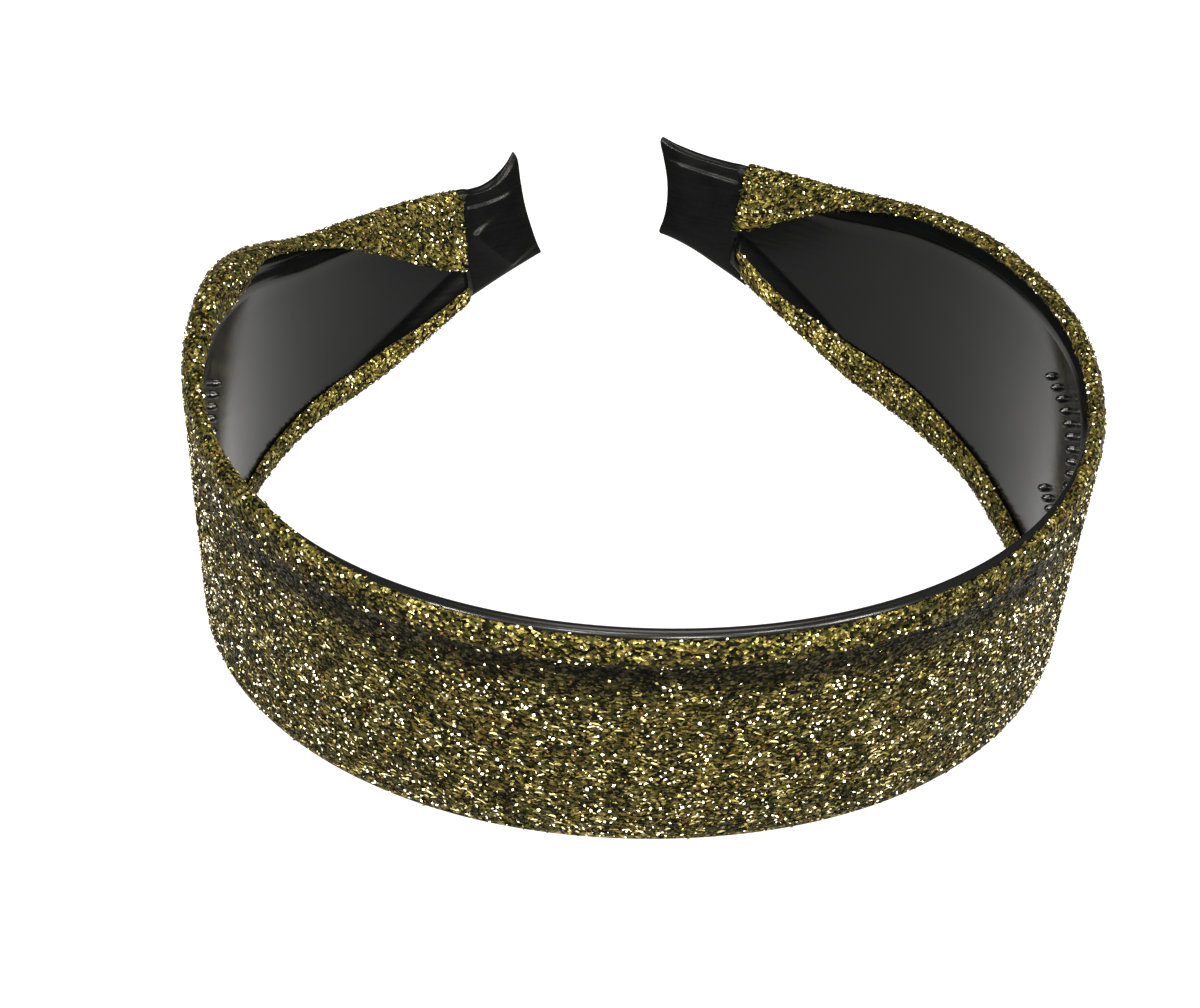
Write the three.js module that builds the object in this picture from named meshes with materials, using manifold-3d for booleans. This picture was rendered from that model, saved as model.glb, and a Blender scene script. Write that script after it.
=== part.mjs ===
// Glitter headband: a moulded black band with two rows of comb teeth inside, a glitter cloth
// glued round it, and a black sleeve shrunk onto each end. Millimetres, +Z up, front toward -Y.
import * as THREE from "three";
import { mergeVertices } from "three/addons/utils/BufferGeometryUtils.js";
import Module from "manifold-3d";

const wasm = await Module();
wasm.setup();

// Walls
const CORE_THICK = 2.0;
const CLOTH_THICK = 1.0;
const GAP = 0.3;
const REST_FLAT = 0.35;
const CORE_EDGE = CORE_THICK / 2;
const CLOTH_INNER = CORE_EDGE + GAP;
const CLOTH_OUTER = CLOTH_INNER + CLOTH_THICK;

// Length from the middle of the front to each tip, and where the sleeves begin
const SLEEVE_MOUTH = 173.6;
const TIP = { left: 185, right: 187 };
const TONGUE_END = 180;
const STATION_STEP = 6;
const TONGUE_STEP = 3;
const ROOM_OPENING = 1;

// Bends seen from above, from the middle of the front back along each arm
const BENDS = [
  { run: 60, left: 60.5, right: 60.5 },
  { run: 45, left: 62.5, right: 64 },
  { run: 35, left: 68.5, right: 70.5 },
  { run: 28, left: 80, right: 84 },
  { run: 40, left: 97, right: 106 },
];

// Heights of each arm's lower and upper edge, and the outward lean of the wall in degrees
const EDGES = [
  { along: 0, leftLower: 0, leftUpper: 38.0, rightLower: 0, rightUpper: 38.0, lean: 14 },
  { along: 37, leftLower: 0, leftUpper: 37.7, rightLower: 0, rightUpper: 37.7, lean: 11 },
  { along: 75, leftLower: 0, leftUpper: 38.8, rightLower: 0, rightUpper: 38.8, lean: 5.5 },
  { along: 98, leftLower: 0, leftUpper: 41.0, rightLower: 0, rightUpper: 41.2, lean: 2.2 },
  { along: 110, leftLower: 2.0, leftUpper: 41.7, rightLower: 1.0, rightUpper: 41.9, lean: 1.1 },
  { along: 120, leftLower: 4.5, leftUpper: 41.2, rightLower: 3.2, rightUpper: 42.1, lean: 0.6 },
  { along: 140, leftLower: 7.7, leftUpper: 37.2, rightLower: 6.7, rightUpper: 40.9, lean: 1 },
  { along: 150, leftLower: 9.0, leftUpper: 36.3, rightLower: 9.2, rightUpper: 39.3, lean: 2.7 },
  { along: 159, leftLower: 11.4, leftUpper: 35.7, rightLower: 13.5, rightUpper: 38.1, lean: 5 },
  { along: 190, leftLower: 22.7, leftUpper: 34.7, rightLower: 27.2, rightUpper: 38.6, lean: 8.2 },
];

// How far the cloth is turned over the upper edge of each arm
const TURNS = [
  { along: 0, left: 0.9, right: 0.9 },
  { along: 28, left: 1.3, right: 1.4 },
  { along: 45, left: 2.2, right: 2.1 },
  { along: 62, left: 3.7, right: 3.1 },
  { along: 85, left: 4.2, right: 4.2 },
  { along: 97, left: 5.6, right: 4.7 },
  { along: 109, left: 7.6, right: 5.0 },
  { along: 115, left: 9.0, right: 5.0 },
  { along: 121, left: 8.4, right: 5.1 },
  { along: 129, left: 5.4, right: 5.2 },
  { along: 139, left: 5.4, right: 5.3 },
  { along: 146, left: 6.2, right: 5.6 },
  { along: 156, left: 9.6, right: 6.6 },
  { along: 165, left: 14.0, right: 10.5 },
  { along: 176, left: 17.4, right: 15.4 },
];

// How loose the cloth's upper fold is
const SLACK = [
  { along: 0, left: 0, right: 0 },
  { along: 85, left: 0.1, right: 0 },
  { along: 98, left: 0.7, right: 0.1 },
  { along: 110, left: 1.6, right: 0.1 },
  { along: 118, left: 2.2, right: 0.1 },
  { along: 130, left: 1.9, right: 0.2 },
  { along: 145, left: 0.5, right: 0.2 },
  { along: 156, left: 0.1, right: 0.3 },
  { along: 176, left: 0, right: 0.1 },
];

// Width of the cloth's lower hem
const HEM = [
  { along: 0, left: 2.5, right: 2.5 },
  { along: 62, left: 2.3, right: 2.5 },
  { along: 85, left: 2.1, right: 2.5 },
  { along: 109, left: 1.9, right: 2.2 },
  { along: 121, left: 1.7, right: 2.6 },
  { along: 129, left: 1.7, right: 3.3 },
  { along: 139, left: 1.8, right: 4.4 },
  { along: 146, left: 2.1, right: 4.1 },
  { along: 156, left: 2.1, right: 2.9 },
  { along: 165, left: 1.4, right: 1.7 },
  { along: 176, left: 1.2, right: 2.4 },
];

// Fold along the front: how far down the face, as a share of its width, and how far it stands off
const FACE = [
  { down: 0.92, lift: 0.6 },
  { down: 0.76, lift: 0.9 },
  { down: 0.52, lift: 0.5 },
  { down: 0.32, lift: 0.1 },
  { down: 0.13, lift: 0 },
  { down: 0.092, lift: 0.25 },
  { down: 0.07, lift: 1.1 },
  { down: 0.045, lift: 1.1 },
  { down: 0.015, lift: 0.35 },
];
const FOLD_REACH = { left: 78, right: 66 };
const FOLD_STEPS = 6;
const HEM_STEPS = 2;
const EDGE_SPACING = 0.15;

// Comb teeth on the inner face
const TOOTH_PITCH = 3.0;
const TOOTH_ROWS = [
  { from: "upper", inset: 8.7, left: 104, right: 101 },
  { from: "lower", inset: 16.5, left: 96, right: 96 },
];
const TOOTH = { length: 1.5, root: 0.6, tall: 1.5, thick: 1.2, tipTall: 1.0, tipThick: 0.8 };

// Sleeves: share of the way to the end, extra half width at a flare of one, half thickness
const SLEEVE = [
  { way: 0, flare: 0, half: 2.3 },
  { way: 0.2, flare: -0.2, half: 2.2 },
  { way: 0.4, flare: -0.2, half: 2.1 },
  { way: 0.6, flare: 0.2, half: 2.0 },
  { way: 0.76, flare: 0.8, half: 1.9 },
  { way: 0.88, flare: 1.5, half: 1.1 },
  { way: 0.95, flare: 2.1, half: 0.75 },
  { way: 1, flare: 2.4, half: 0.6 },
];
const SLEEVE_END = {
  left: { top: 2.0, bottom: 0.2, slant: 1.8, dip: -0.4 },
  right: { top: 0.8, bottom: 0.8, slant: -0.6, dip: 1.0 },
};
const SLEEVE_HORN = 0.8;
const SLEEVE_SIDE_POINTS = 3;
const ROUND_STEPS = 5;

const PLASTIC = { color: 0x0d0d0e, roughness: 0.22, metalness: 0 };
const GLITTER = { color: 0x8a7434, roughness: 0.55, metalness: 0.6 };
const FILM = { color: 0x101112, roughness: 0.38, metalness: 0 };

// Value of a column between rows, smooth and never past the rows on either side
function smooth(rows, column, at, key = "along") {
  const last = rows.length - 1;
  const x = Math.min(Math.max(at, rows[0][key]), rows[last][key]);
  let i = 0;
  while (i < last - 1 && x > rows[i + 1][key]) i += 1;
  const rise = (k) => (rows[k + 1][column] - rows[k][column]) / (rows[k + 1][key] - rows[k][key]);
  const slope = (k) => {
    if (k === 0 || k === last) return 0;
    const before = rise(k - 1);
    const after = rise(k);
    return before * after <= 0 ? 0 : (2 * before * after) / (before + after);
  };
  const span = rows[i + 1][key] - rows[i][key];
  const t = (x - rows[i][key]) / span;
  const fromStart = (1 + 2 * t) * (1 - t) * (1 - t) * rows[i][column];
  const fromEnd = t * t * (3 - 2 * t) * rows[i + 1][column];
  const bend = t * (1 - t) * (1 - t) * slope(i) - t * t * (1 - t) * slope(i + 1);
  return fromStart + fromEnd + bend * span;
}

const sideOf = (along) => (along < 0 ? "left" : "right");

// Middle line of the band seen from above: a chain of arcs, the left arm mirrored
function plan(along) {
  const side = sideOf(along);
  let left = Math.abs(along);
  let x = 0;
  let y = 0;
  let turn = 0;
  for (const bend of BENDS) {
    const radius = bend[side];
    const run = Math.min(left, bend.run);
    const next = turn + run / radius;
    x += radius * (Math.sin(next) - Math.sin(turn));
    y += radius * (Math.cos(turn) - Math.cos(next));
    turn = next;
    left -= run;
  }
  const mirror = along < 0 ? -1 : 1;
  return { x: mirror * x, y, outX: mirror * Math.sin(turn), outY: -Math.cos(turn) };
}

// Frame of the band at one place: middle of the wall, the way up the wall and the way out of it
function station(along) {
  const far = Math.abs(along);
  const spot = plan(along);
  const side = sideOf(along);
  const bottom = smooth(EDGES, `${side}Lower`, far) + CLOTH_OUTER - REST_FLAT;
  const top = smooth(EDGES, `${side}Upper`, far) - CORE_EDGE;
  const lean = THREE.MathUtils.degToRad(smooth(EDGES, "lean", far));
  const out = new THREE.Vector3(spot.outX, spot.outY, 0);
  const rise = new THREE.Vector3(0, 0, 1);
  const up = rise.clone().multiplyScalar(Math.cos(lean)).addScaledVector(out, Math.sin(lean));
  const face = out.clone().multiplyScalar(Math.cos(lean)).addScaledVector(rise, -Math.sin(lean));
  const middle = new THREE.Vector3(spot.x, spot.y, (bottom + top) / 2);
  return { along, middle, up, face, half: (top - bottom) / 2 / Math.cos(lean) };
}

const place = (at, high, out) =>
  at.middle.clone().addScaledVector(at.up, high).addScaledVector(at.face, out);

// Closed body through rings of equal point counts, with its two ends filled
function loft(rings, fillEnd) {
  const count = rings[0].length;
  const points = rings.flat();
  const triangles = [];
  for (let r = 0; r < rings.length - 1; r += 1) {
    for (let k = 0; k < count; k += 1) {
      const a = r * count + k;
      const b = r * count + ((k + 1) % count);
      triangles.push(a, b, b + count, a, b + count, a + count);
    }
  }
  const lastRing = (rings.length - 1) * count;
  for (const [a, b, c] of fillEnd(count)) {
    triangles.push(a, c, b);
    triangles.push(lastRing + a, lastRing + b, lastRing + c);
  }
  const geometry = new THREE.BufferGeometry();
  geometry.setAttribute("position", new THREE.Float32BufferAttribute(points.flatMap((p) => p.toArray()), 3));
  geometry.setIndex(triangles);
  return geometry;
}

const fan = (count) => Array.from({ length: count - 2 }, (_, k) => [0, k + 1, k + 2]);

// Ends of a wall whose ring runs out along one face and back along the other
function wallEnd(count) {
  const faces = [];
  for (let k = 0; k < count / 2 - 1; k += 1) {
    faces.push([k, k + 1, count - 2 - k], [k, count - 2 - k, count - 1 - k]);
  }
  return faces;
}

function solid(geometry) {
  geometry.deleteAttribute("normal");
  geometry.deleteAttribute("uv");
  const merged = mergeVertices(geometry, 1e-4);
  const mesh = new wasm.Mesh({
    numProp: 3,
    vertProperties: new Float32Array(merged.getAttribute("position").array),
    triVerts: new Uint32Array(merged.getIndex().array),
  });
  return new wasm.Manifold(mesh);
}

function geometryOf(body) {
  const mesh = body.getMesh();
  const geometry = new THREE.BufferGeometry();
  geometry.setAttribute("position", new THREE.Float32BufferAttribute(Array.from(mesh.vertProperties), 3));
  geometry.setIndex(Array.from(mesh.triVerts));
  return geometry;
}

// Flat strip with rounded edges, as a ring at one place along the band
function strip(half, radius, sidePoints = 0) {
  const ring = [];
  for (const sign of [1, -1]) {
    for (let k = 0; k <= ROUND_STEPS; k += 1) {
      const angle = (Math.PI * k) / ROUND_STEPS;
      ring.push({ high: sign * (half + radius * Math.sin(angle)), out: sign * radius * Math.cos(angle) });
    }
    for (let k = 1; k <= sidePoints; k += 1) {
      const high = sign * half * (1 - (2 * k) / (sidePoints + 1));
      ring.push({ high, out: -sign * radius });
    }
  }
  return ring.reverse();
}

function spread(from, to, step) {
  const steps = Math.round((to - from) / step);
  return Array.from({ length: steps + 1 }, (_, k) => from + ((to - from) * k) / steps);
}

// Places along the band between the sleeves, and inside a sleeve
const BODY = spread(GAP - SLEEVE_MOUTH, SLEEVE_MOUTH - GAP, STATION_STEP);
const TONGUE = spread(SLEEVE_MOUTH, TONGUE_END, TONGUE_STEP);

// Plastic band with its teeth
function buildCore() {
  const places = [...TONGUE.map((along) => -along).reverse(), ...BODY, ...TONGUE].map(station);
  const rings = places.map((at) => strip(at.half, CORE_EDGE).map((p) => place(at, p.high, p.out)));
  let core = solid(loft(rings, fan));
  for (const row of TOOTH_ROWS) {
    for (const along of spread(-row.left, row.right, TOOTH_PITCH)) {
      core = core.add(solid(buildTooth(station(along), row)));
    }
  }
  return geometryOf(core);
}

function buildTooth(at, row) {
  const edge = at.half + CORE_EDGE - row.inset;
  const high = row.from === "upper" ? edge : -edge;
  const sideways = new THREE.Vector3().crossVectors(at.up, at.face);
  const ring = (depth, tall, thick) =>
    [[-1, -1], [-1, 1], [1, 1], [1, -1]].map(([a, b]) =>
      place(at, high + (b * tall) / 2, -depth).addScaledVector(sideways, (a * thick) / 2));
  const root = ring(CORE_EDGE - TOOTH.root, TOOTH.tall, TOOTH.thick);
  const tip = ring(CORE_EDGE + TOOTH.length, TOOTH.tipTall, TOOTH.tipThick);
  return loft([root, tip], fan);
}

// Path of the cloth round the band at one place, from its lower hem to its upper edge
function clothPath(at) {
  const far = Math.abs(at.along);
  const side = sideOf(at.along);
  const slack = smooth(SLACK, side, far);
  const turned = smooth(TURNS, side, far);
  const hem = smooth(HEM, side, far);
  const fade = Math.max(0, 1 - (far / FOLD_REACH[side]) ** 2);
  const path = [];
  for (let k = 0; k <= HEM_STEPS; k += 1) {
    path.push({ high: -at.half + hem * (1 - k / HEM_STEPS), push: 0, wayUp: 0, wayOut: -1 });
  }
  for (let k = 1; k <= FOLD_STEPS; k += 1) {
    const angle = (Math.PI * k) / FOLD_STEPS;
    path.push({ high: -at.half, push: 0, wayUp: -Math.sin(angle), wayOut: -Math.cos(angle) });
  }
  for (const row of FACE) {
    path.push({ high: at.half - 2 * at.half * row.down, push: row.lift * fade, wayUp: 0, wayOut: 1 });
  }
  path.push(...clothTop(at.half + slack, turned, FACE[FACE.length - 1].lift * fade));
  return path;
}

// Upper edge of the cloth: straight up the face, over the fold and down the inside as far as it goes
function clothTop(high, turned, push) {
  const foldLength = (Math.PI * (CLOTH_INNER + CLOTH_OUTER)) / 2;
  const steps = spread(0, foldLength, foldLength / FOLD_STEPS);
  const hem = Math.max(0, turned - foldLength);
  for (let k = 1; k <= HEM_STEPS; k += 1) {
    steps.push(foldLength + (hem * k) / HEM_STEPS);
  }
  const last = steps.length - 1;
  return steps.map((step, k) => {
    const run = Math.min(step, turned - (last - k) * EDGE_SPACING);
    if (run <= 0) {
      return { high: high + run, push, wayUp: 0, wayOut: 1 };
    }
    const angle = Math.min(Math.PI, (Math.PI * run) / foldLength);
    const down = Math.max(0, run - foldLength);
    const held = push * (1 + Math.cos(angle)) / 2;
    return { high: high - down, push: held, wayUp: Math.sin(angle), wayOut: Math.cos(angle) };
  });
}

function buildCover() {
  const rings = BODY.map(station).map((at) => {
    const path = clothPath(at);
    const lay = (depth) => path.map((p) => {
      const point = place(at, p.high + p.wayUp * depth, p.wayOut * (depth + p.push));
      point.z = Math.max(0, point.z);
      return point;
    });
    return [...lay(CLOTH_INNER), ...lay(CLOTH_OUTER).reverse()];
  });
  return loft(rings, wallEnd);
}

// Sleeve on one end: a closed outer form less the room for the band inside it
function buildSleeve(side) {
  const mirror = side === "left" ? -1 : 1;
  const end = SLEEVE_END[side];
  const outer = SLEEVE.map((row) => {
    const base = station(mirror * (SLEEVE_MOUTH + row.way * (TIP[side] - SLEEVE_MOUTH)));
    return strip(base.half, CLOTH_OUTER, SLEEVE_SIDE_POINTS).map((p) => {
      const share = p.high / (base.half + CLOTH_OUTER);
      const widen = row.flare * share ** 3 * (share > 0 ? end.top : end.bottom);
      const horn = SLEEVE_HORN * Math.abs(share) ** 3;
      const reach = horn - end.dip * (1 - share * share) - end.slant * share;
      const at = station(base.along + mirror * row.way * reach);
      return place(at, p.high + widen, (p.out * row.half) / CLOTH_OUTER);
    });
  });
  const inner = [SLEEVE_MOUTH - ROOM_OPENING, ...TONGUE, TONGUE_END + GAP].map((along) => {
    const at = station(mirror * along);
    return strip(at.half, CLOTH_INNER).map((p) => place(at, p.high, p.out));
  });
  const order = (rings) => (mirror < 0 ? [...rings].reverse() : rings);
  return geometryOf(solid(loft(order(outer), fan)).subtract(solid(loft(order(inner), fan))));
}

function piece(name, geometry, finish) {
  const mesh = new THREE.Mesh(geometry, new THREE.MeshStandardMaterial(finish));
  mesh.name = name;
  return mesh;
}

const headband = new THREE.Group();
headband.name = "glitter_headband";
headband.add(piece("core_band", buildCore(), PLASTIC));
headband.add(piece("glitter_cover", buildCover(), GLITTER));
headband.add(piece("end_cap_left", buildSleeve("left"), FILM));
headband.add(piece("end_cap_right", buildSleeve("right"), FILM));

// Origin under the middle of the whole, on the surface that it rests on
const bounds = new THREE.Box3().setFromObject(headband);
const centre = bounds.getCenter(new THREE.Vector3());
for (const mesh of headband.children) {
  mesh.geometry.translate(-centre.x, -centre.y, -bounds.min.z);
  mesh.geometry.computeVertexNormals();
}

export default headband;
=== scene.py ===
"""Glitter headband: a moulded black band with comb teeth, a glitter cloth glued round it, and a film
sleeve shrunk onto each end, lying on its lower edge on a pale floor. Metres, front toward -Y."""
import logging
import math
from dataclasses import dataclass, field, fields
from enum import Enum
from functools import cached_property
from typing import Any, Sequence

import bpy
import numpy as np
from mathutils import Matrix, Vector

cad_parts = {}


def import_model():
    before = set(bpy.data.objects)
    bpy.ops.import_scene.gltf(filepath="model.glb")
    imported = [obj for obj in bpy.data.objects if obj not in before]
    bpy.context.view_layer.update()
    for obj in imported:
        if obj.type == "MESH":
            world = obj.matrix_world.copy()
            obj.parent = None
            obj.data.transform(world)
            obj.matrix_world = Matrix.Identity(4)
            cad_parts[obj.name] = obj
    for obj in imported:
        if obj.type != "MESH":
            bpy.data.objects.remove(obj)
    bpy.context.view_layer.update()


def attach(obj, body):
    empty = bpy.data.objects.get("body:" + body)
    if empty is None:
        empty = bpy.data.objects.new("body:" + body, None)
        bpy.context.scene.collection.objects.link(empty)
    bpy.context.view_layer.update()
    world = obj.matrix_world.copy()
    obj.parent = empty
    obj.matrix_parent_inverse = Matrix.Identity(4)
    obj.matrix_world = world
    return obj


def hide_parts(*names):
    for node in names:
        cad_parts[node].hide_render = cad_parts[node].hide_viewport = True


LOG = logging.getLogger("glitter_headband")
BODY = "root"
BAKE_MAP = "OFBake"
UP = Vector((0.0, 0.0, 1.0))

Colour = tuple[float, float, float]
Inputs = dict[str | int, Any]
Stops = tuple[tuple[float, Colour], ...]
Material = bpy.types.Material
Mesh = bpy.types.Mesh
Node = bpy.types.Node
Piece = bpy.types.Object
Socket = bpy.types.NodeSocket
Tree = bpy.types.NodeTree


class Arm(Enum):
    """One of the band's two arms, seen from the front."""

    LEFT = "left"
    RIGHT = "right"

    @property
    def sign(self) -> int:
        """Sign of lengths along this arm."""
        return -1 if self is Arm.LEFT else 1

    @staticmethod
    def of(along: float) -> "Arm":
        """Arm that a signed length along the band lies on."""
        return Arm.LEFT if along < 0 else Arm.RIGHT


class Table:
    """Short table of named columns, read between its rows by a curve that stays within them."""

    def __init__(self, columns: str, rows: Sequence[Sequence[float]]) -> None:
        """Takes the rows in rising order of the first column.

        Args:
            columns: Names of the columns, the first being the one that is looked up.
            rows: One value for each column.
        """
        values = np.array(rows, float).T
        self.keys = values[0]
        self.columns = dict(zip(columns.split()[1:], values[1:]))
        self.slopes = {name: self._slopes(column) for name, column in self.columns.items()}

    def _slopes(self, column: np.ndarray) -> np.ndarray:
        """Slope at each row, level at the ends and wherever the column turns.

        Args:
            column: Values of the rows.

        Returns:
            The slopes.
        """
        rise = np.diff(column) / np.diff(self.keys)
        before, after = rise[:-1], rise[1:]
        total = np.where(before * after > 0, before + after, 1.0)
        inner = np.where(before * after > 0, 2 * before * after / total, 0.0)
        return np.concatenate([[0.0], inner, [0.0]])

    def at(self, column: str, where: float) -> float:
        """Value of a column at one place.

        Args:
            column: Name of the column.
            where: Place on the first column, held within the table.

        Returns:
            The value on the curve through the rows.
        """
        keys, values, slopes = self.keys, self.columns[column], self.slopes[column]
        x = min(max(where, keys[0]), keys[-1])
        i = min(max(int(np.searchsorted(keys, x)) - 1, 0), len(keys) - 2)
        span = keys[i + 1] - keys[i]
        t = (x - keys[i]) / span
        from_start = (1 + 2 * t) * (1 - t) ** 2 * values[i]
        from_end = t * t * (3 - 2 * t) * values[i + 1]
        bend = t * (1 - t) ** 2 * slopes[i] - t * t * (1 - t) * slopes[i + 1]
        return float(from_start + from_end + bend * span)


def table(columns: str, *rows: Sequence[float]) -> Any:
    """Dataclass field that holds a table of its own."""
    return field(default_factory=lambda: Table(columns, rows))


def per_arm(left: float, right: float) -> Any:
    """Dataclass field that holds one value for each arm."""
    return field(default_factory=lambda: {Arm.LEFT: left, Arm.RIGHT: right})


def ease(share: float) -> float:
    """Smooth step from zero to one."""
    held = min(1.0, max(0.0, share))
    return held * held * (3 - 2 * held)


def spaced(start: float, end: float, step: float) -> np.ndarray:
    """Even places from start to end, about that far apart."""
    return np.linspace(start, end, max(2, round(abs(end - start) / step) + 1))


def linked(name: str, data: Any) -> Piece:
    """New object at the origin, linked to the scene.

    Args:
        name: Its name.
        data: Its mesh, lamp or camera.

    Returns:
        The object.
    """
    thing = bpy.data.objects.new(name, data)
    bpy.context.scene.collection.objects.link(thing)
    return thing


def smooth_mesh(name: str, points: Sequence[Any], faces: Sequence[Any]) -> Mesh:
    """New mesh of points and faces, shaded smooth.

    Args:
        name: Its name.
        points: Places of its points.
        faces: Indices of each face's points.

    Returns:
        The mesh.
    """
    mesh = bpy.data.meshes.new(name)
    mesh.from_pydata(points, [], faces)
    mesh.polygons.foreach_set("use_smooth", [True] * len(mesh.polygons))
    return mesh


def store(mesh: Mesh, name: str, kind: str, values: Any) -> None:
    """Keeps a named value for each point of a mesh, of the kind FLOAT or FLOAT_VECTOR."""
    key = "value" if kind == "FLOAT" else "vector"
    mesh.attributes.new(name, kind, "POINT").data.foreach_set(key, np.ravel(values))


@dataclass(frozen=True)
class Bend:
    """Arc of the band seen from above: its length, and its radius on each arm."""

    run: float
    left: float
    right: float


@dataclass(frozen=True)
class Station:
    """Frame of the band's wall at one place along it."""

    along: float
    middle: Vector
    up: Vector
    face: Vector
    half: float

    @property
    def far(self) -> float:
        """Length from the middle of the front."""
        return abs(self.along)

    @property
    def arm(self) -> Arm:
        """Arm that the place lies on."""
        return Arm.of(self.along)

    def place(self, high: float, out: float) -> Vector:
        """Point of the wall, that far up it and out of it."""
        return self.middle + self.up * high + self.face * out


@dataclass
class BandLine:
    """Line of the band from the middle of its front to both tips, with its two edges and its lean."""

    core_half: float = 0.00105
    cloth_inner: float = 0.00115
    cloth_outer: float = 0.00175
    stack_out: float = 0.00055
    rest_flat: float = 0.00035
    sleeve_mouth: float = 0.1738
    tongue_end: float = 0.1741
    front_middle: tuple[float, float] = (-0.00010, -0.06316)
    bends: tuple[Bend, ...] = (
        Bend(0.060, 0.0605, 0.0605),
        Bend(0.045, 0.0625, 0.0640),
        Bend(0.035, 0.0685, 0.0705),
        Bend(0.028, 0.0800, 0.0840),
        Bend(0.040, 0.0970, 0.1060),
    )
    edges: Table = table(
        "along left_lower left_upper right_lower right_upper lean",
        (0.000, 0.0000, 0.0380, 0.0000, 0.0380, 14.0),
        (0.037, 0.0000, 0.0377, 0.0000, 0.0377, 11.0),
        (0.075, 0.0000, 0.0388, 0.0000, 0.0388, 5.5),
        (0.098, 0.0003, 0.0410, 0.0000, 0.0412, 2.2),
        (0.110, 0.0022, 0.0417, 0.0010, 0.0419, 1.1),
        (0.120, 0.0045, 0.0412, 0.0032, 0.0421, 0.6),
        (0.140, 0.0077, 0.0372, 0.0067, 0.0409, 1.0),
        (0.150, 0.0090, 0.0363, 0.0092, 0.0393, 2.7),
        (0.159, 0.0114, 0.0357, 0.0135, 0.0381, 5.0),
        (0.190, 0.0227, 0.0347, 0.0272, 0.0386, 8.2),
    )

    def plan(self, along: float) -> tuple[Vector, Vector]:
        """Place of the wall's middle line seen from above.

        Args:
            along: Length from the middle of the front, negative on the left arm.

        Returns:
            The point at height zero, and the level way out of the band there.
        """
        arm = Arm.of(along)
        left = abs(along)
        x, y, turn = 0.0, 0.0, 0.0
        for bend in self.bends:
            radius = getattr(bend, arm.value)
            run = min(left, bend.run)
            after = turn + run / radius
            x += radius * (math.sin(after) - math.sin(turn))
            y += radius * (math.cos(turn) - math.cos(after))
            turn = after
            left -= run
        point = Vector((arm.sign * x + self.front_middle[0], y + self.front_middle[1], 0.0))
        return point, Vector((arm.sign * math.sin(turn), -math.cos(turn), 0.0))

    def station(self, along: float) -> Station:
        """Frame of the wall at one place along the band.

        Args:
            along: Length from the middle of the front, negative on the left arm.

        Returns:
            The frame.
        """
        side, far = Arm.of(along).value, abs(along)
        point, out = self.plan(along)
        bottom = self.edges.at(f"{side}_lower", far) + self.cloth_outer - self.rest_flat
        top = self.edges.at(f"{side}_upper", far) - self.core_half
        lean = math.radians(self.edges.at("lean", far))
        up = UP * math.cos(lean) + out * math.sin(lean)
        face = out * math.cos(lean) - UP * math.sin(lean)
        middle = point + UP * ((bottom + top) / 2) + face * self.stack_out
        return Station(along, middle, up, face, (top - bottom) / 2 / math.cos(lean))


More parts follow.
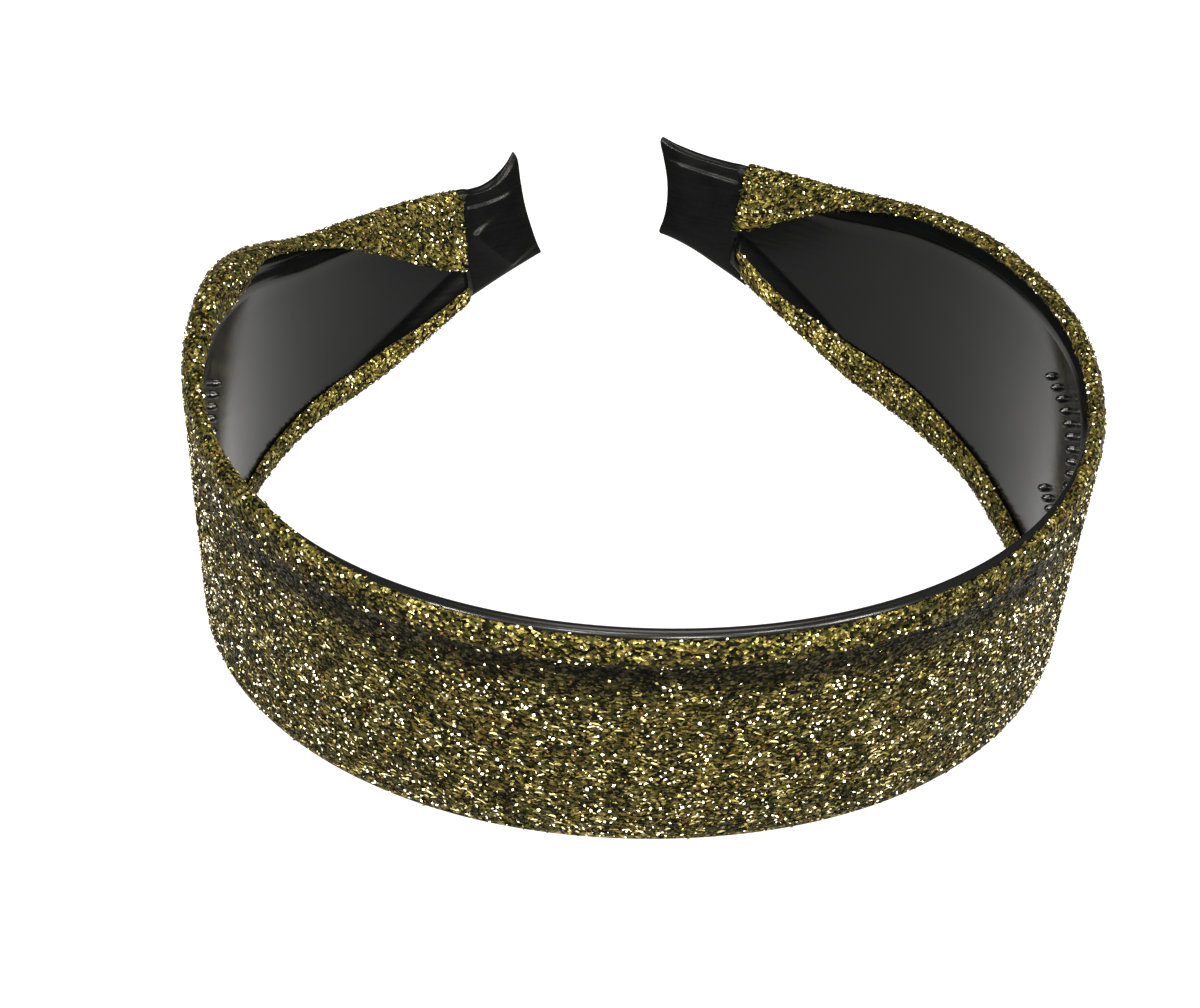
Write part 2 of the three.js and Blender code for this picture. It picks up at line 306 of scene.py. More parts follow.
class Wires:
    """Adds nodes to one tree and joins them by the names of their sockets."""

    def __init__(self, tree: Tree) -> None:
        """Takes the tree to work on."""
        self.tree = tree

    @staticmethod
    def socket(sockets: Any, key: str | int | None) -> Socket:
        """Socket that is in use under a name, at an index, or first of all.

        Args:
            sockets: Inputs or outputs of a node.
            key: Name, index, or nothing for the first.

        Returns:
            The socket.
        """
        if isinstance(key, int):
            return sockets[key]
        return next(s for s in sockets if s.enabled and key in (None, s.name))

    def feed(self, node: Node, inputs: Inputs) -> None:
        """Joins sockets to a node's inputs, and sets plain values on them.

        Args:
            node: The node.
            inputs: Value or joined socket for each input, by name or index.
        """
        for key, value in inputs.items():
            target = self.socket(node.inputs, key)
            if isinstance(value, Socket):
                self.tree.links.new(value, target)
            else:
                target.default_value = value

    def node(self, kind: str, inputs: Inputs | None = None, **settings: Any) -> Node:
        """Adds one node.

        Args:
            kind: Blender's name for the kind of node.
            inputs: Value or joined socket for each input, by name or index.
            settings: Properties of the node itself, set first.

        Returns:
            The node.
        """
        node = self.tree.nodes.new(kind)
        for name, value in settings.items():
            setattr(node, name, value)
        self.feed(node, inputs or {})
        return node

    def value(
        self, kind: str, inputs: Inputs | None = None, output: str | None = None, **settings: Any
    ) -> Socket:
        """Adds one node and gives its named output, or its first one."""
        return self.socket(self.node(kind, inputs, **settings).outputs, output)

    def math(self, operation: str, first: Any, *others: Any) -> Socket:
        """One operation on a number, or on several numbers in turn.

        Args:
            operation: Blender's name for it.
            first: First number.
            others: Numbers that follow.

        Returns:
            The result.
        """
        for other in others or (0.0,):
            first = self.value("ShaderNodeMath", {0: first, 1: other}, operation=operation)
        return first

    def spread(self, factor: Socket, low: Any, high: Any) -> Socket:
        """Number from low to high as the factor goes from zero to one."""
        return self.value("ShaderNodeMapRange", {"Value": factor, "To Min": low, "To Max": high})

    def ramp(self, factor: Socket, stops: Stops) -> Socket:
        """Colour ramp.

        Args:
            factor: Number that picks the colour.
            stops: Place and linear colour of each stop.

        Returns:
            The picked colour.
        """
        node = self.node("ShaderNodeValToRGB", {"Fac": factor})
        elements = node.color_ramp.elements
        while len(elements) < len(stops):
            elements.new(1.0)
        for element, (place, colour) in zip(elements, stops):
            element.position = place
            element.color = (*colour, 1.0)
        return node.outputs["Color"]

    def mix(self, factor: Socket, first: Colour | Socket, second: Colour | Socket) -> Socket:
        """Colour between two colours.

        Args:
            factor: Share of the second.
            first: First colour.
            second: Second colour.

        Returns:
            The mixed colour.
        """
        ends = [end if isinstance(end, Socket) else (*end, 1.0) for end in (first, second)]
        inputs = {"Factor": factor, "A": ends[0], "B": ends[1]}
        return self.value("ShaderNodeMix", inputs, data_type="RGBA")

    def parts(self, vector: Socket) -> Any:
        """The three numbers of a vector, by the names of their axes."""
        return self.node("ShaderNodeSeparateXYZ", {"Vector": vector}).outputs

    def painted(self, name: str) -> Socket:
        """Number that a mesh carries under a name, in a material."""
        return self.value("ShaderNodeAttribute", output="Fac", attribute_name=name)

    def effect(self, tree: Tree, inputs: Inputs) -> Any:
        """Places a shared effect on Object coordinates, and gives its outputs."""
        place = self.value("ShaderNodeTexCoord", output="Object")
        return self.node("ShaderNodeGroup", {"Vector": place, **inputs}, node_tree=tree).outputs

    def named(self, name: str, kind: str = "FLOAT") -> Socket:
        """Value that points carry under a name, in a geometry tree."""
        return self.value("GeometryNodeInputNamedAttribute", {"Name": name}, data_type=kind)

    def keep(self, geometry: Socket, name: str, value: Socket, kind: str, domain: str) -> Socket:
        """Stores a named value on a geometry."""
        inputs = {"Geometry": geometry, "Name": name, "Value": value}
        return self.value("GeometryNodeStoreNamedAttribute", inputs, data_type=kind, domain=domain)

    def turn(self, primary: Socket, secondary: Socket) -> Socket:
        """Rotation that brings Z along the first vector and X toward the second."""
        axes = {"Primary Axis": primary, "Secondary Axis": secondary}
        return self.value("FunctionNodeAxesToRotation", axes, primary_axis="Z", secondary_axis="X")

    def chance(self, low: Socket, high: Socket, seed: Socket, kind: str = "FLOAT") -> Socket:
        """Random value between two others."""
        return self.value("FunctionNodeRandomValue", {"Min": low, "Max": high, "Seed": seed}, data_type=kind)


class SurfaceEffects:
    """Shader effects that several finishes share, each built once as a node group."""

    SCRATCH_STRETCH = (0.25, 0.25, 3.0)
    SMUDGE = {"Detail": 4.0, "Distortion": 0.6}
    SCRATCH = {"Detail": 6.0, "Roughness": 0.7}
    PATCH = {"Detail": 3.0, "Roughness": 0.6}

    @staticmethod
    def group(name: str, scales: Sequence[str], results: Sequence[str]) -> tuple[Wires, Any, Node]:
        """New shader group that reads a place and some scales.

        Args:
            name: Name of the group.
            scales: Names of its scales.
            results: Names of the numbers that it puts out.

        Returns:
            The wires of the group, its input sockets and its output node.
        """
        tree = bpy.data.node_groups.new(name, "ShaderNodeTree")
        tree.interface.new_socket("Vector", in_out="INPUT", socket_type="NodeSocketVector")
        for way, labels in (("INPUT", scales), ("OUTPUT", results)):
            for label in labels:
                tree.interface.new_socket(label, in_out=way, socket_type="NodeSocketFloat")
        wires = Wires(tree)
        return wires, wires.node("NodeGroupInput").outputs, wires.node("NodeGroupOutput")

    @staticmethod
    def noise(wires: Wires, place: Socket, scale: Socket, kind: dict[str, float]) -> Socket:
        """Noise of one kind at a place."""
        return wires.value("ShaderNodeTexNoise", {"Vector": place, "Scale": scale, **kind}, output="Fac")

    @classmethod
    def handling(cls) -> Tree:
        """Smudges and hairline scratches of a handled black surface: a mask and a height.

        Returns:
            The node group.
        """
        name = "handling_marks"
        if name in bpy.data.node_groups:
            return bpy.data.node_groups[name]
        wires, given, result = cls.group(name, ("Smudge Scale", "Scratch Scale"), ("Mask", "Height"))
        smudge = cls.noise(wires, given["Vector"], given["Smudge Scale"], cls.SMUDGE)
        ways = {0: given["Vector"], 1: cls.SCRATCH_STRETCH}
        stretched = wires.value("ShaderNodeVectorMath", ways, operation="MULTIPLY")
        scratch = cls.noise(wires, stretched, given["Scratch Scale"], cls.SCRATCH)
        wires.feed(result, {
            "Mask": wires.math("MULTIPLY", smudge, scratch, 2.0),
            "Height": wires.math("ADD", smudge, scratch),
        })
        return wires.tree

    @classmethod
    def patchiness(cls) -> Tree:
        """Slow light and dark patches of a knitted metal cloth, as a mask.

        Returns:
            The node group.
        """
        name = "cloth_patchiness"
        if name in bpy.data.node_groups:
            return bpy.data.node_groups[name]
        wires, given, result = cls.group(name, ("Scale",), ("Mask",))
        wires.feed(result, {"Mask": cls.noise(wires, given["Vector"], given["Scale"], cls.PATCH)})
        return wires.tree


class Finish:
    """Base of the finishes: makes a material with one main shader and hands out its wires."""

    @staticmethod
    def start(name: str) -> tuple[Material, Wires, Node]:
        """New material, with its wires and its main shader.

        Args:
            name: Its name.

        Returns:
            The material, its wires and its main shader.
        """
        material = bpy.data.materials.new(name)
        material.use_nodes = True
        return material, Wires(material.node_tree), material.node_tree.nodes["Principled BSDF"]

    @staticmethod
    def patched(wires: Wires, shade: Socket, scale: float, shift: tuple[float, float]) -> Socket:
        """A shade, moved down and up in slow patches."""
        mask = wires.effect(SurfaceEffects.patchiness(), {"Scale": scale})["Mask"]
        return wires.math("ADD", shade, wires.spread(mask, *shift))


@dataclass(frozen=True)
class BlackFinish(Finish):
    """Black moulding or film: deep colour, greyer where it is handled, with a fine uneven surface."""

    BUMP_DEEP = 0.0002
    IOR = 1.5
    name: str
    deep: Colour
    worn: Colour
    smooth: float
    rough: float
    specular: float
    smudge_scale: float
    scratch_scale: float
    bump: float

    def surface(self, wires: Wires, mask: Socket) -> tuple[Socket, Socket]:
        """Colour and roughness under a mask of handling marks."""
        return wires.mix(mask, self.deep, self.worn), wires.spread(mask, self.smooth, self.rough)

    def material(self) -> Material:
        """The finish as a material.

        Returns:
            The material.
        """
        material, wires, shader = self.start(self.name)
        scales = {"Smudge Scale": self.smudge_scale, "Scratch Scale": self.scratch_scale}
        marks = wires.effect(SurfaceEffects.handling(), scales)
        colour, roughness = self.surface(wires, marks["Mask"])
        relief = {"Strength": self.bump, "Distance": self.BUMP_DEEP, "Height": marks["Height"]}
        wires.feed(shader, {
            "Base Color": colour,
            "Roughness": roughness,
            "Normal": wires.value("ShaderNodeBump", relief),
            "IOR": self.IOR,
            "Specular IOR Level": self.specular,
        })
        return material


@dataclass(frozen=True)
class MouldedFinish(BlackFinish):
    """Glossy black moulding with a softer, greyer rim, by the number named rim; the rim's grey is a painted
    sheen.
    """

    rim_colour: Colour
    rim_rough: float

    def surface(self, wires: Wires, mask: Socket) -> tuple[Socket, Socket]:
        """Colour and roughness under a mask of handling marks, with the rim's painted sheen and softer
        roughness over them.

        Args:
            wires: Wires of the material.
            mask: Mask of the marks.

        Returns:
            The colour and the roughness.
        """
        colour, roughness = super().surface(wires, mask)
        rim = wires.painted("rim")
        blend = {"Factor": rim, "A": roughness, "B": self.rim_rough}
        softer = wires.value("ShaderNodeMix", blend, data_type="FLOAT")
        # The rim's grey colour is painted sheen; its higher roughness is the surface's own.
        return wires.mix(rim, colour, self.rim_colour), softer


@dataclass(frozen=True)
class GroundFinish(Finish):
    """Knitted ground of the cloth: dark yarn with olive, brown and gold stitches, by its own map, with
    painted light and shade over them.
    """

    name: str = "glitter_ground"
    stitch_scale: tuple[float, float, float] = (2300.0, 3000.0, 1.0)
    stitch_random: float = 0.9
    patch_scale: float = 380.0
    patch_shift: tuple[float, float] = (-0.45, 0.37)
    unlit: Colour = (0.0006, 0.0006, 0.0005)
    metal: tuple[float, float] = (0.0, 0.7)
    rough: tuple[float, float] = (0.75, 0.35)
    specular: float = 0.02
    bump: float = 0.9
    bump_deep: float = 0.0002
    stops: Stops = (
        (0.00, (0.0012, 0.0012, 0.0008)),
        (0.30, (0.007, 0.007, 0.003)),
        (0.50, (0.036, 0.038, 0.009)),
        (0.68, (0.094, 0.062, 0.017)),
        (0.84, (0.210, 0.170, 0.036)),
        (1.00, (0.440, 0.370, 0.120)),
    )

    def material(self) -> Material:
        """The finish as a material that reads the map named knit and the number named light, its painted
        light and shade.

        Returns:
            The material.
        """
        material, wires, shader = self.start(self.name)
        flat = {0: wires.value("ShaderNodeUVMap", uv_map="knit"), 1: self.stitch_scale}
        stitches = wires.node("ShaderNodeTexVoronoi", {
            "Vector": wires.value("ShaderNodeVectorMath", flat, operation="MULTIPLY"),
            "Scale": 1.0,
            "Randomness": self.stitch_random,
        }).outputs
        shade = wires.value("ShaderNodeSeparateColor", {"Color": stitches["Color"]}, output="Red")
        moved = self.patched(wires, shade, self.patch_scale, self.patch_shift)
        dome = wires.math("SUBTRACT", 1.0, stitches["Distance"])
        relief = {"Strength": self.bump, "Distance": self.bump_deep, "Height": dome}
        wires.feed(shader, {
            # Painted light and shade: the number named light mixes the ground from a near-black painted shade
            # up to its stitch colours, lighter on the hems than on the face.
            "Base Color": wires.mix(wires.painted("light"), self.unlit, wires.ramp(moved, self.stops)),
            "Metallic": wires.spread(shade, *self.metal),
            "Roughness": wires.spread(shade, *self.rough),
            "Specular IOR Level": self.specular,
            "Normal": wires.value("ShaderNodeBump", relief),
        })
        return material


@dataclass(frozen=True)
class YarnFinish(Finish):
    """Metal yarn and flakes: each piece picks its own colour by its tint, and how much of a metal it is."""

    name: str
    smooth: float
    rough: float
    stops: Stops
    metal: tuple[tuple[float, float], ...]
    patch_scale: float = 380.0
    patch_shift: tuple[float, float] = (-0.26, 0.19)
    specular: float = 0.05

    def material(self) -> Material:
        """The finish as a material that reads the number named tint.

        Returns:
            The material.
        """
        material, wires, shader = self.start(self.name)
        tint = wires.painted("tint")
        moved = self.patched(wires, tint, self.patch_scale, self.patch_shift)
        colour = wires.ramp(moved, self.stops)
        greys = tuple((place, (share, share, share)) for place, share in self.metal)
        wires.feed(shader, {
            "Base Color": colour,
            "Specular Tint": colour,
            "Metallic": wires.ramp(moved, greys),
            "Roughness": wires.spread(tint, self.rough, self.smooth),
            "Specular IOR Level": self.specular,
        })
        return material


PLASTIC = MouldedFinish(
    "black_plastic", deep=(0.0005, 0.0006, 0.0006), worn=(0.0014, 0.0017, 0.0017), smooth=0.10, rough=0.22,
    specular=0.155, smudge_scale=120.0, scratch_scale=500.0, bump=0.04,
    rim_colour=(0.0034, 0.0034, 0.0037), rim_rough=0.23,
)
TOOTH_PLASTIC = BlackFinish(
    "tooth_plastic", deep=(0.0006, 0.0007, 0.0007), worn=(0.0016, 0.0019, 0.0019), smooth=0.20, rough=0.32,
    specular=0.36, smudge_scale=300.0, scratch_scale=900.0, bump=0.04,
)
FILM = BlackFinish(
    "black_film", deep=(0.0008, 0.0009, 0.0009), worn=(0.0026, 0.0028, 0.0029), smooth=0.22, rough=0.34,
    specular=0.060, smudge_scale=160.0, scratch_scale=700.0, bump=0.14,
)
GROUND = GroundFinish()
LOOPS = YarnFinish(
    "gold_yarn",
    smooth=0.28,
    rough=0.46,
    stops=(
        (0.00, (0.0012, 0.0012, 0.0008)),
        (0.36, (0.007, 0.007, 0.003)),
        (0.52, (0.034, 0.040, 0.010)),
        (0.66, (0.098, 0.060, 0.018)),
        (0.76, (0.215, 0.170, 0.040)),
        (0.88, (0.480, 0.405, 0.130)),
        (0.95, (0.760, 0.685, 0.370)),
    ),
    metal=((0.00, 0.0), (0.48, 0.0), (0.66, 1.0), (0.84, 1.0), (0.95, 0.4)),
)
# The near-white, mostly non-metal top of this ramp is painted glint: these flakes show white whichever way
# they face.
FLAKES = YarnFinish(
    "glitter_flakes",
    smooth=0.26,
    rough=0.40,
    stops=(
        (0.00, (0.0016, 0.0018, 0.0012)),
        (0.32, (0.015, 0.018, 0.006)),
        (0.48, (0.105, 0.046, 0.018)),
        (0.60, (0.240, 0.195, 0.048)),
        (0.72, (0.520, 0.440, 0.160)),
        (0.80, (0.900, 0.830, 0.600)),
        (1.00, (1.000, 0.950, 0.840)),
    ),
    metal=((0.00, 0.0), (0.36, 0.0), (0.52, 1.0), (0.70, 0.8), (0.80, 0.2)),
)


class Solid:
    """Gathers points and faces of one closed piece, and makes its object."""

    def __init__(self) -> None:
        """Starts empty."""
        self.points: list[Vector] = []
        self.faces: list[tuple[int, ...]] = []

    def rings(self, rings: Sequence[Sequence[Vector]]) -> list[list[int]]:
        """Adds closed rings of equal counts and the wall between them.

        Args:
            rings: Rings in order, each running clockwise seen from the first one.

        Returns:
            The indices of each ring's points.
        """
        placed = []
        for ring in rings:
            start = len(self.points)
            self.points.extend(ring)
            placed.append(list(range(start, start + len(ring))))
        for first, second in zip(placed, placed[1:]):
            self.faces.extend(zip(first, first[1:] + first[:1], second[1:] + second[:1], second))
        return placed

    def lid(self, ring: list[int], facing_on: bool) -> None:
        """Fills a ring that runs up one side of a flat section and down the other.

        Args:
            ring: Indices of its points.
            facing_on: Whether the fill faces onward along the rings.
        """
        half = len(ring) // 2
        near, far = ring[:half], ring[half:][::-1]
        for k in range(half - 1):
            quad = (near[k], near[k + 1], far[k + 1], far[k])
            self.faces.append(quad if facing_on else quad[::-1])

    def object(self, name: str, material: Material) -> Piece:
        """The piece as a smooth object with one finish.

        Args:
            name: Its name.
            material: Its finish.

        Returns:
            The linked object.
        """
        mesh = smooth_mesh(name, [tuple(point) for point in self.points], self.faces)
        mesh.materials.append(material)
        mesh.update()
        return linked(name, mesh)


class Grower:
    """Runs a geometry node tree on a piece and keeps the result as a plain mesh."""

    def __init__(self, name: str, sizes: dict[str, tuple[str, Any]]) -> None:
        """Starts a tree with a geometry in and out, and a named input for each size.

        Args:
            name: Name of the tree.
            sizes: Kind and value of each named input.
        """
        self.tree = bpy.data.node_groups.new(name, "GeometryNodeTree")
        self.sizes = sizes
        face = self.tree.interface
        for way in ("INPUT", "OUTPUT"):
            face.new_socket("Geometry", in_out=way, socket_type="NodeSocketGeometry")
        self.names = {
            label: face.new_socket(label, in_out="INPUT", socket_type=kind).identifier
            for label, (kind, _) in sizes.items()
        }
        self.wires = Wires(self.tree)
        self.given = self.wires.node("NodeGroupInput").outputs

    def end(self, geometry: Socket) -> None:
        """Ends the tree with the finish on the finished geometry."""
        inputs = {"Geometry": geometry, "Material": self.given["Finish"]}
        self.wires.node("NodeGroupOutput", {"Geometry": self.wires.value("GeometryNodeSetMaterial", inputs)})

    def grow(self, piece: Piece, drop: Sequence[str]) -> None:
        """Replaces a piece's mesh by what the tree makes of it.

        Args:
            piece: Object that carries the starting mesh.
            drop: Attributes that only the tree needs.
        """
        modifier = piece.modifiers.new(self.tree.name, "NODES")
        modifier.node_group = self.tree
        for label, (_, value) in self.sizes.items():
            modifier[self.names[label]] = value
        graph = bpy.context.evaluated_depsgraph_get()
        grown = piece.evaluated_get(graph)
        mesh = bpy.data.meshes.new_from_object(grown, preserve_all_data_layers=True, depsgraph=graph)
        piece.modifiers.remove(modifier)
        old = piece.data
        piece.data = mesh
        mesh.name = piece.name
        bpy.data.meshes.remove(old)
        for name in drop:
            if name in mesh.attributes:
                mesh.attributes.remove(mesh.attributes[name])


@dataclass(frozen=True)
class ToothRow:
    """Row of comb teeth: the edge it keeps to, its distance from that edge, and its reach on each arm."""

    edge: int
    inset: float
    left: float
    right: float


@dataclass
class MouldedBand:
    """Moulded band of glossy plastic: a strip with round edges, sloped borders inside, and comb teeth."""

    line: BandLine
    step: float = 0.0015
    round_steps: int = 10
    side_steps: int = 12
    slope_steps: int = 7
    bead_rise: float = 0.00005
    bead_width: float = 0.0006
    rim_from: float = 0.55
    rim_fade: float = 0.35
    borders: Table = table(
        "along upper upper_width lower lower_width",
        (0.060, 0.0000, 0.0022, 0.0000, 0.0016),
        (0.085, 0.0010, 0.0024, 0.0006, 0.0020),
        (0.120, 0.0010, 0.0024, 0.0005, 0.0022),
        (0.140, 0.0010, 0.0024, -0.0001, 0.0030),
        (0.155, 0.0009, 0.0024, -0.0008, 0.0042),
        (0.172, 0.0008, 0.0024, -0.0010, 0.0050),
    )
    tooth_pitch: float = 0.0030
    tooth_length: float = 0.0012
    tooth_root: float = 0.0006
    tooth_tall: float = 0.0016
    tooth_thick: float = 0.0014
    tooth_tip: float = 0.66
    tooth_square: float = 8.0
    tooth_sides: int = 10
    tooth_steps: int = 6
    tooth_rows: tuple[ToothRow, ...] = (
        ToothRow(1, 0.0087, 0.104, 0.101),
        ToothRow(-1, 0.0165, 0.096, 0.096),
    )

    def section(self, at: Station) -> list[tuple[float, float]]:
        """Ring of the wall's section, from the outer face over the upper edge and back below.

        Args:
            at: Place along the band.

        Returns:
            How far up and how far out each point lies.
        """
        full = self.line.core_half
        angles = np.linspace(0, math.pi, self.round_steps)
        edges, turns, slopes, beads = {}, {}, {}, {}
        for side, rise in (("upper", self.bead_rise), ("lower", 0.0)):
            drop, width = self.borders.at(side, at.far), self.borders.at(f"{side}_width", at.far)
            radius = full - drop / 2
            edge = at.half + full - radius
            bead = edge - width - self.bead_width
            slopes[side] = [
                (edge - width * share, drop * (1 - ease(share)) - full)
                for share in np.linspace(0, 1, self.slope_steps)[1:]
            ]
            slopes[side] += [(bead + self.bead_width / 2, -full - rise), (bead, -full)]
            turns[side] = [(edge + radius * math.sin(a), drop / 2 + radius * math.cos(a)) for a in angles]
            edges[side], beads[side] = edge, bead
        outside = np.linspace(-edges["lower"], edges["upper"], self.side_steps)[1:-1]
        inside = np.linspace(beads["upper"], -beads["lower"], self.side_steps)[1:-1]
        below = [(-high, out) for high, out in reversed(turns["lower"] + slopes["lower"])]
        ring = [(high, full) for high in outside] + turns["upper"] + slopes["upper"]
        return ring + [(high, -full) for high in inside] + below

    def swell(self, far: float, above: float) -> float:
        """How far the lower border swells inward, that far above the lower edge."""
        share = above / self.borders.at("lower_width", far)
        return max(0.0, -self.borders.at("lower", far)) * (1 - ease(share))

    def rim(self, count: int) -> np.ndarray:
        """Share of the softer rim with its painted sheen at each of a section's points, full over the upper
        edge.

        Args:
            count: Number of the section's points.

        Returns:
            The shares.
        """
        shares = np.zeros(count)
        first = self.side_steps - 2
        ways = np.linspace(0, 1, self.round_steps)
        over = [1 - ease((way - self.rim_from) / self.rim_fade) for way in ways]
        shares[first:first + self.round_steps] = over
        return shares

    def build(self, material: Material) -> Piece:
        """The wall as a piece, from the left end to the right.

        Args:
            material: Its finish.

        Returns:
            The object.
        """
        end = self.line.tongue_end
        stations = [self.line.station(along) for along in spaced(-end, end, self.step)]
        solid = Solid()
        placed = solid.rings([[at.place(*spot) for spot in self.section(at)][::-1] for at in stations])
        solid.faces += [tuple(placed[0][::-1]), tuple(placed[-1])]
        piece = solid.object("moulded_band", material)
        store(piece.data, "rim", "FLOAT", np.tile(self.rim(len(placed[0]))[::-1], len(placed)))
        return piece

    def build_teeth(self, material: Material) -> Piece:
        """Both rows of comb teeth as one piece, grown on points of the inner face.

        Args:
            material: Their finish.

        Returns:
            The object.
        """
        radius = self.line.core_half
        points, inward, upward = [], [], []
        for row in self.tooth_rows:
            for along in spaced(-row.left, row.right, self.tooth_pitch):
                at = self.line.station(along)
                high = row.edge * (at.half + radius - row.inset)
                points.append(tuple(at.place(high, self.tooth_root - radius)))
                inward.append(tuple(-at.face))
                upward.append(tuple(at.up))
        mesh = bpy.data.meshes.new("comb_teeth")
        mesh.from_pydata(points, [], [])
        store(mesh, "tooth_in", "FLOAT_VECTOR", inward)
        store(mesh, "tooth_up", "FLOAT_VECTOR", upward)
        piece = linked("comb_teeth", mesh)
        self.tooth_tree(material).grow(piece, ("tooth_in", "tooth_up"))
        return piece

    def tooth_tree(self, material: Material) -> Grower:
        """Tree that puts one round-tipped tooth on each point.

        Args:
            material: Finish of the teeth.

        Returns:
            The tree, ready to grow.
        """
        number = "NodeSocketFloat"
        grower = Grower("comb_teeth", {
            "Length": (number, self.tooth_length + self.tooth_root),
            "Tall": (number, self.tooth_tall),
            "Thick": (number, self.tooth_thick),
            "Tip Share": (number, self.tooth_tip),
            "Square": (number, self.tooth_square),
            "Sides": ("NodeSocketInt", self.tooth_sides),
            "Steps": ("NodeSocketInt", self.tooth_steps),
            "Finish": ("NodeSocketMaterial", material),
        })
        wires, given = grower.wires, grower.given
        peg = wires.value("GeometryNodeMeshCone", {
            "Vertices": given["Sides"],
            "Side Segments": given["Steps"],
            "Radius Top": 1.0,
            "Radius Bottom": 1.0,
            "Depth": 1.0,
        })
        parts = wires.parts(wires.value("GeometryNodeInputPosition"))
        rise = parts["Z"]
        crown = wires.math("SQRT", wires.math("SUBTRACT", 1.0, wires.math("POWER", rise, given["Square"])))
        lost = wires.math("MULTIPLY", rise, wires.math("SUBTRACT", given["Tip Share"], 1.0))
        width = wires.math("MULTIPLY", crown, wires.math("ADD", 1.0, lost), 0.5)
        shaped = wires.value("ShaderNodeCombineXYZ", {
            "X": wires.math("MULTIPLY", parts["X"], width, given["Tall"]),
            "Y": wires.math("MULTIPLY", parts["Y"], width, given["Thick"]),
            "Z": wires.math("MULTIPLY", rise, given["Length"]),
        })
        rows = wires.value("GeometryNodeInstanceOnPoints", {
            "Points": given["Geometry"],
            "Instance": wires.value("GeometryNodeSetPosition", {"Geometry": peg, "Position": shaped}),
            "Rotation": wires.turn(*(wires.named(name, "FLOAT_VECTOR") for name in ("tooth_in", "tooth_up"))),
        })
        whole = wires.value("GeometryNodeRealizeInstances", {"Geometry": rows})
        grower.end(wires.value("GeometryNodeSetShadeSmooth", {"Geometry": whole}))
        return grower


